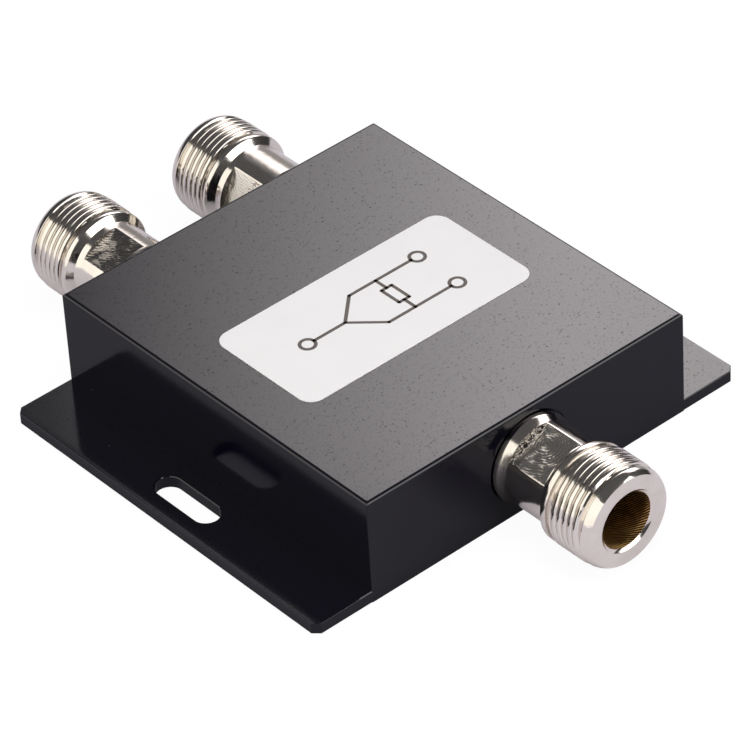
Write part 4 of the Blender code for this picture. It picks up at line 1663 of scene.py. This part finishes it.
@dataclass
class Label:
    """The white sticker on top, with a plain drawing of one line that divides into two."""

    width: float = 42.7 * MM
    length: float = 21.1 * MM
    offset_y: float = -1.1 * MM
    corner: float = 2.4 * MM
    base: float = 17.485 * MM
    thickness: float = 0.105 * MM
    ink_gap: float = 0.002 * MM
    ink_height: float = 0.012 * MM
    stroke: float = 0.55 * MM
    fine_edge: float = 0.03 * MM
    corner_steps: int = 12
    pen_steps: int = 6
    ring_facets: int = 40
    left: float = -12.5 * MM
    right: float = 12.0 * MM
    upper: float = 3.4 * MM
    lower: float = -5.2 * MM
    split: float = -1.0 * MM
    fork: float = 4.5 * MM
    block_from_split: float = 5.0 * MM
    block_half: Point = (0.95 * MM, 1.9 * MM)
    ring: float = 1.15 * MM

    def sticker(self, finish: bpy.types.Material) -> bpy.types.Object:
        """Builds the sticker.

        Args:
            finish: The paper.

        Returns:
            The piece.
        """
        bm = bmesh.new()
        centre = (0.0, self.offset_y)
        fine = self.fine_edge
        outer = round_rectangle(self.width / 2, self.length / 2, self.corner, self.corner_steps, centre)
        inner = round_rectangle(self.width / 2 - fine, self.length / 2 - fine, self.corner - fine,
                                self.corner_steps, centre)
        top = self.base + self.thickness
        add_prism(bm, [(self.base, outer), (top - fine, outer), (top, inner)])
        piece = make_object("sticker", bm, (finish,))
        even_normals(piece)
        dress(piece, "label_paper", "label")
        return piece

    def stroke_outline(self, start: Point, end: Point) -> list[Point]:
        """Gives the outline of a straight pen stroke with round ends.

        Args:
            start: Where the pen sets down.
            end: Where it lifts.

        Returns:
            The points, in order.
        """
        angle = atan2(end[1] - start[1], end[0] - start[0])
        radius = self.stroke / 2
        return (arc_points(end, radius, angle - pi / 2, pi, self.pen_steps)
                + arc_points(start, radius, angle + pi / 2, pi, self.pen_steps))

    def drawing(self, finish: bpy.types.Material) -> bpy.types.Object:
        """Prints the drawing: a common line, two arms, a block across them, and three round ports.

        Args:
            finish: The ink.

        Returns:
            The piece.
        """
        low = self.base + self.thickness + self.ink_gap
        high = low + self.ink_height
        middle = (self.upper + self.lower) / 2
        fork, block = self.split - self.fork, self.split + self.block_from_split
        strokes: list[tuple[Point, Point]] = [((self.left + self.ring, middle), (fork, middle))]
        half_x, half_y = self.block_half
        for arm, block_end in ((self.upper, middle + half_y), (self.lower, middle - half_y)):
            strokes += [((fork, middle), (self.split, arm)),
                        ((self.split, arm), (self.right - self.ring, arm)),
                        ((block, arm), (block, block_end))]
        corners = [(block + side * half_x, middle + row * half_y)
                   for side, row in ((-1, -1), (1, -1), (1, 1), (-1, 1))]
        strokes += zip(corners, corners[1:] + corners[:1])
        bm = bmesh.new()
        for start, end in strokes:
            outline = self.stroke_outline(start, end)
            add_prism(bm, [(low, outline), (high, outline)])
        half = self.stroke / 2
        profile = [(self.ring - half, low), (self.ring + half, low), (self.ring + half, high),
                   (self.ring - half, high)]
        for x, y in ((self.left, middle), (self.right, self.upper), (self.right, self.lower)):
            add_turned(bm, profile, self.ring_facets, Matrix.Translation((x, y, 0.0)))
        piece = make_object("sticker_drawing", bm, (finish,), sharp=None)
        dress(piece, "label_paper")
        return piece

    def build(self, paper: bpy.types.Material, ink: bpy.types.Material) -> None:
        """Builds the sticker and its drawing."""
        self.sticker(paper)
        self.drawing(ink)


@dataclass
class Inside:
    """What the housing holds out of sight, kept as solids and given their finishes."""

    nodes: dict[str, bpy.types.Object]

    def build(self, laminate: bpy.types.Material, tin: bpy.types.Material, ceramic: bpy.types.Material,
              steel: bpy.types.Material) -> None:
        """Gives the board, the track, the resistor and the board screws their finishes.

        Args:
            laminate: Finish of the board.
            tin: Finish of the track.
            ceramic: Finish of the resistor.
            steel: Finish of the board's screws.
        """
        wanted = {"circuit_board": laminate, "copper_track": tin, "isolation_resistor": ceramic}
        wanted |= {f"board_screw_{number}": steel for number in range(1, 5)}
        for name, material in wanted.items():
            node = self.nodes[name]
            for slot in node.material_slots:
                slot.material = material
            LOG.info("%s: finish %s", name, material.name)


# The studio.

PART_CORE: Place = (0.0, 0.0, 0.01)


@dataclass(frozen=True)
class Lamp:
    """A soft panel lamp, which may dim towards a side, its top and its foot."""

    name: str
    place: Place
    size: Point
    radiance: float
    tint: Colour
    fade: Fade = Fade.EVEN
    aim: Place = PART_CORE
    side_rise: Rise = (0.83, 0.585, 0.05)
    top_rise: Rise = (1.0, 0.82, 0.30)
    foot_rise: Rise = (0.36, 0.62, 0.08)
    mirrored: bool = True
    lights_matt: bool = True

    def build(self) -> bpy.types.Object:
        """Builds the lamp.

        Returns:
            The lamp's object.
        """
        data = bpy.data.lights.new(self.name, "AREA")
        data.shape = "RECTANGLE"
        data.size, data.size_y = self.size
        data.color = self.tint
        data.energy = self.radiance * self.size[0] * self.size[1] * pi
        if self.fade is Fade.ACROSS:
            data.use_nodes = True
            sheet = Sheet(data.node_tree)
            across = sheet.add("SeparateXYZ", {0: sheet.add("NewGeometry").outputs["Parametric"]})
            side = sheet.ramp(across.outputs[0], *self.side_rise, 1.0)
            top = sheet.ramp(across.outputs[1], *self.top_rise, 1.0)
            foot = sheet.ramp(across.outputs[1], *self.foot_rise, 1.0)
            strength = sheet.math("MULTIPLY", side, sheet.math("MULTIPLY", top, foot))
            sheet.feed(data.node_tree.nodes["Emission"], "Strength", strength)
        lamp = bpy.data.objects.new(self.name, data)
        bpy.context.scene.collection.objects.link(lamp)
        lamp.location = self.place
        away = Vector(self.place) - Vector(self.aim)
        lamp.rotation_mode = "QUATERNION"
        lamp.rotation_quaternion = away.to_track_quat("Z", "Y")
        lamp.visible_camera = False
        lamp.visible_glossy = self.mirrored
        lamp.visible_diffuse = self.lights_matt
        return lamp


@dataclass
class Studio:
    """Camera, lamps, surroundings and floor."""

    eye: Place = (-0.353263, -0.433001, 0.447278)
    target: Place = (-0.004726, -0.005885, 0.010527)
    roll: float = -3.539
    focal_pixels: float = 4969.5
    picture: float = 750.0
    sensor: float = 36.0
    nearest: float = 0.01
    farthest: float = 20.0
    lamps: tuple[Lamp, ...] = (
        Lamp("key_panel", (0.36, 0.275, 0.22), (0.55, 0.5), 3.7, (1.0, 0.945, 0.945), Fade.ACROSS,
             lights_matt=False),
        Lamp("side_panel", (-0.4985, 0.039, 0.26), (1.17, 0.62), 1.3, (1.0, 0.96, 0.89),
             aim=(0.0, 0.0, 0.02)),
        Lamp("front_panel", (0.22, -0.42, 0.285), (0.57, 0.44), 2.4, (1.0, 0.98, 0.96)),
        Lamp("overhead_fill", (-0.05, -0.10, 0.80), (0.6, 0.6), 3.3, (0.98, 0.98, 1.0), mirrored=False),
    )
    room_tint: Colour = (0.97, 0.96, 1.0)
    room_low: float = 0.045
    room_high: float = 0.10
    room_rise: float = 0.8
    floor_half: float = 3.0
    floor_drop: float = 0.05 * MM
    floor_tone: Colour = (0.69, 0.665, 0.735)
    floor_second_tone: Colour = (0.715, 0.69, 0.76)
    floor_cloud: float = 0.25
    seen_level: float = 1.05
    seen_share: float = 0.90
    mirrored_tone: Colour = (0.98, 0.95, 1.0)
    mirrored_level: float = 0.72
    mirrored_share: float = 0.15

    def camera(self) -> bpy.types.Object:
        """Builds the camera at the photograph's viewpoint.

        Returns:
            The camera's object.
        """
        data = bpy.data.cameras.new("camera")
        data.sensor_width = self.sensor
        data.lens = self.focal_pixels / self.picture * self.sensor
        data.clip_start = self.nearest
        data.clip_end = self.farthest
        camera = bpy.data.objects.new("camera", data)
        bpy.context.scene.collection.objects.link(camera)
        camera.location = self.eye
        look = (Vector(self.target) - Vector(self.eye)).to_track_quat("-Z", "Y")
        camera.rotation_mode = "QUATERNION"
        camera.rotation_quaternion = look @ Matrix.Rotation(radians(self.roll), 4, "Z").to_quaternion()
        bpy.context.scene.camera = camera
        return camera

    def surroundings(self) -> None:
        """Builds a dim room that is white to the camera."""
        world = bpy.data.worlds.new("surroundings")
        bpy.context.scene.world = world
        world.use_nodes = True
        tree = world.node_tree
        tree.nodes.clear()
        sheet = Sheet(tree)
        ray = sheet.add("SeparateXYZ", {0: sheet.add("TexCoord").outputs["Generated"]})
        level = sheet.ramp(ray.outputs[2], 0.0, self.room_rise, self.room_low, self.room_high, smooth=True)
        room = sheet.add("Background", {"Color": self.room_tint, "Strength": level})
        white = sheet.add("Background", {"Color": (1.0, 1.0, 1.0), "Strength": 1.0})
        path = sheet.add("LightPath")
        mixed = sheet.add("MixShader", {0: path.outputs["Is Camera Ray"], 1: room.outputs[0],
                                        2: white.outputs[0]})
        sheet.add("OutputWorld", {"Surface": mixed.outputs[0]})

    def floor(self) -> bpy.types.Object:
        """Builds the pale floor, which keeps the object's shadow.

        Returns:
            The floor's object.
        """
        bm = bmesh.new()
        bmesh.ops.create_grid(bm, x_segments=4, y_segments=4, size=self.floor_half)
        bmesh.ops.translate(bm, verts=bm.verts, vec=(0.0, 0.0, -self.floor_drop))
        material = bpy.data.materials.new("pale_floor")
        material.use_nodes = True
        tree = material.node_tree
        tree.nodes.clear()
        sheet = Sheet(tree)
        cloud = sheet.noise(object_place(sheet), self.floor_cloud)
        tone = sheet.blend(cloud, self.floor_tone, self.floor_second_tone)
        matt = sheet.add("BsdfDiffuse", {"Color": tone})
        glow = sheet.add("Emission", {"Color": (1.0, 1.0, 1.0), "Strength": self.seen_level})
        grey = sheet.add("Emission", {"Color": self.mirrored_tone, "Strength": self.mirrored_level})
        path = sheet.add("LightPath")
        seen = sheet.math("MULTIPLY", path.outputs["Is Camera Ray"], self.seen_share)
        first = sheet.add("MixShader", {0: seen, 1: matt.outputs[0], 2: glow.outputs[0]})
        mirrored = sheet.math("MAXIMUM", path.outputs["Is Glossy Ray"], path.outputs["Is Transmission Ray"])
        share = sheet.math("MULTIPLY", mirrored, self.mirrored_share)
        second = sheet.add("MixShader", {0: share, 1: first.outputs[0], 2: grey.outputs[0]})
        sheet.add("OutputMaterial", {"Surface": second.outputs[0]})
        made = make_object("floor", bm, (material,), sharp=None)
        return made

    def build(self) -> None:
        """Builds the whole studio."""
        scene = bpy.context.scene
        scene.view_settings.view_transform = "Standard"
        self.camera()
        self.surroundings()
        self.floor()
        for lamp in self.lamps:
            lamp.build()
            LOG.info("lamp %s", lamp.name)


class Finishes:
    """Every finish on the part, built once."""

    def __init__(self, shelf: EffectShelf) -> None:
        """Builds the materials.

        Args:
            shelf: The shared effects.
        """
        self.lacquer = LacquerFinish("black_lacquer").build(shelf)
        self.cover_lacquer = LacquerFinish("black_cover_lacquer", pit_amount=0.5,
                                           peel_strength=0.08).build(shelf)
        self.nickel = NickelFinish("bright_nickel").build(shelf)
        self.bore = BoreFinish("bore_brass").build(shelf)
        self.gold = MetalFinish("gold_plate", (0.86, 0.62, 0.24), (0.74, 0.52, 0.22), 0.20).build(shelf)
        self.white = SolidFinish("white_fluoropolymer", (0.86, 0.86, 0.84), (0.82, 0.82, 0.80),
                                 0.42).build(shelf)
        self.steel = MetalFinish("zinc_steel", (0.62, 0.62, 0.63), (0.50, 0.50, 0.51), 0.30).build(shelf)
        self.laminate = SolidFinish("laminate", (0.15, 0.28, 0.13), (0.13, 0.24, 0.11), 0.45).build(shelf)
        self.tin = MetalFinish("tinned_copper", (0.76, 0.73, 0.68), (0.66, 0.62, 0.56), 0.28).build(shelf)
        self.ceramic = SolidFinish("resistor_ceramic", (0.08, 0.08, 0.09), (0.11, 0.11, 0.12),
                                   0.40).build(shelf)
        self.paper = SolidFinish("label_paper", (0.80, 0.79, 0.80), (0.82, 0.81, 0.82), 0.55, bump=0.05,
                                 specular=0.02).build(shelf)
        self.ink = SolidFinish("label_ink", (0.10, 0.085, 0.075), (0.13, 0.11, 0.10), 0.55,
                               specular=0.3).build(shelf)


def main() -> None:
    """Builds the dressed part and its studio."""
    logging.basicConfig(level=logging.INFO, format="%(name)s %(message)s")
    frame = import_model()
    shelf = EffectShelf()
    finishes = Finishes(shelf)
    housing = Housing()
    housing.build(finishes.lacquer)
    sockets = (
        SocketShell("in", 0, Wall.FRONT, radians(113.5), MilledFinish("milled_flats_in")),
        # Painted shade: the left rear socket's flats get a nickel tone half as bright as the other flats.
        RearSocketShell("out_left", -1, Wall.BACK, radians(112.0),
                        MilledFinish("milled_flats_out_left_shaded", (0.00805, 0.0091), pitch=0.00042, wobble=0.3,
                                     chatter=0.0, tone=(0.36, 0.34, 0.315)),
                        flat_half=5.78 * MM, flat_low=2.6 * MM),
        RearSocketShell("out_right", 1, Wall.BACK, radians(156.0),
                        MilledFinish("milled_flats_out_right", (0.0, 0.010), pitch=0.0004, wobble=0.3,
                                     chatter=0.3, tone=(0.80, 0.76, 0.70))),
    )
    for socket in sockets:
        socket.build(housing, (finishes.nickel, socket.milled.build(shelf), finishes.bore))
        SocketCore(socket).build(housing, finishes.gold, finishes.white)
    underside = Underside(housing)
    underside.cover(finishes.cover_lacquer)
    underside.screws(finishes.steel)
    Label().build(finishes.paper, finishes.ink)
    Inside(frame["nodes"]).build(finishes.laminate, finishes.tin, finishes.ceramic, finishes.steel)
    Studio().build()


if __name__ == "__main__":
    main()
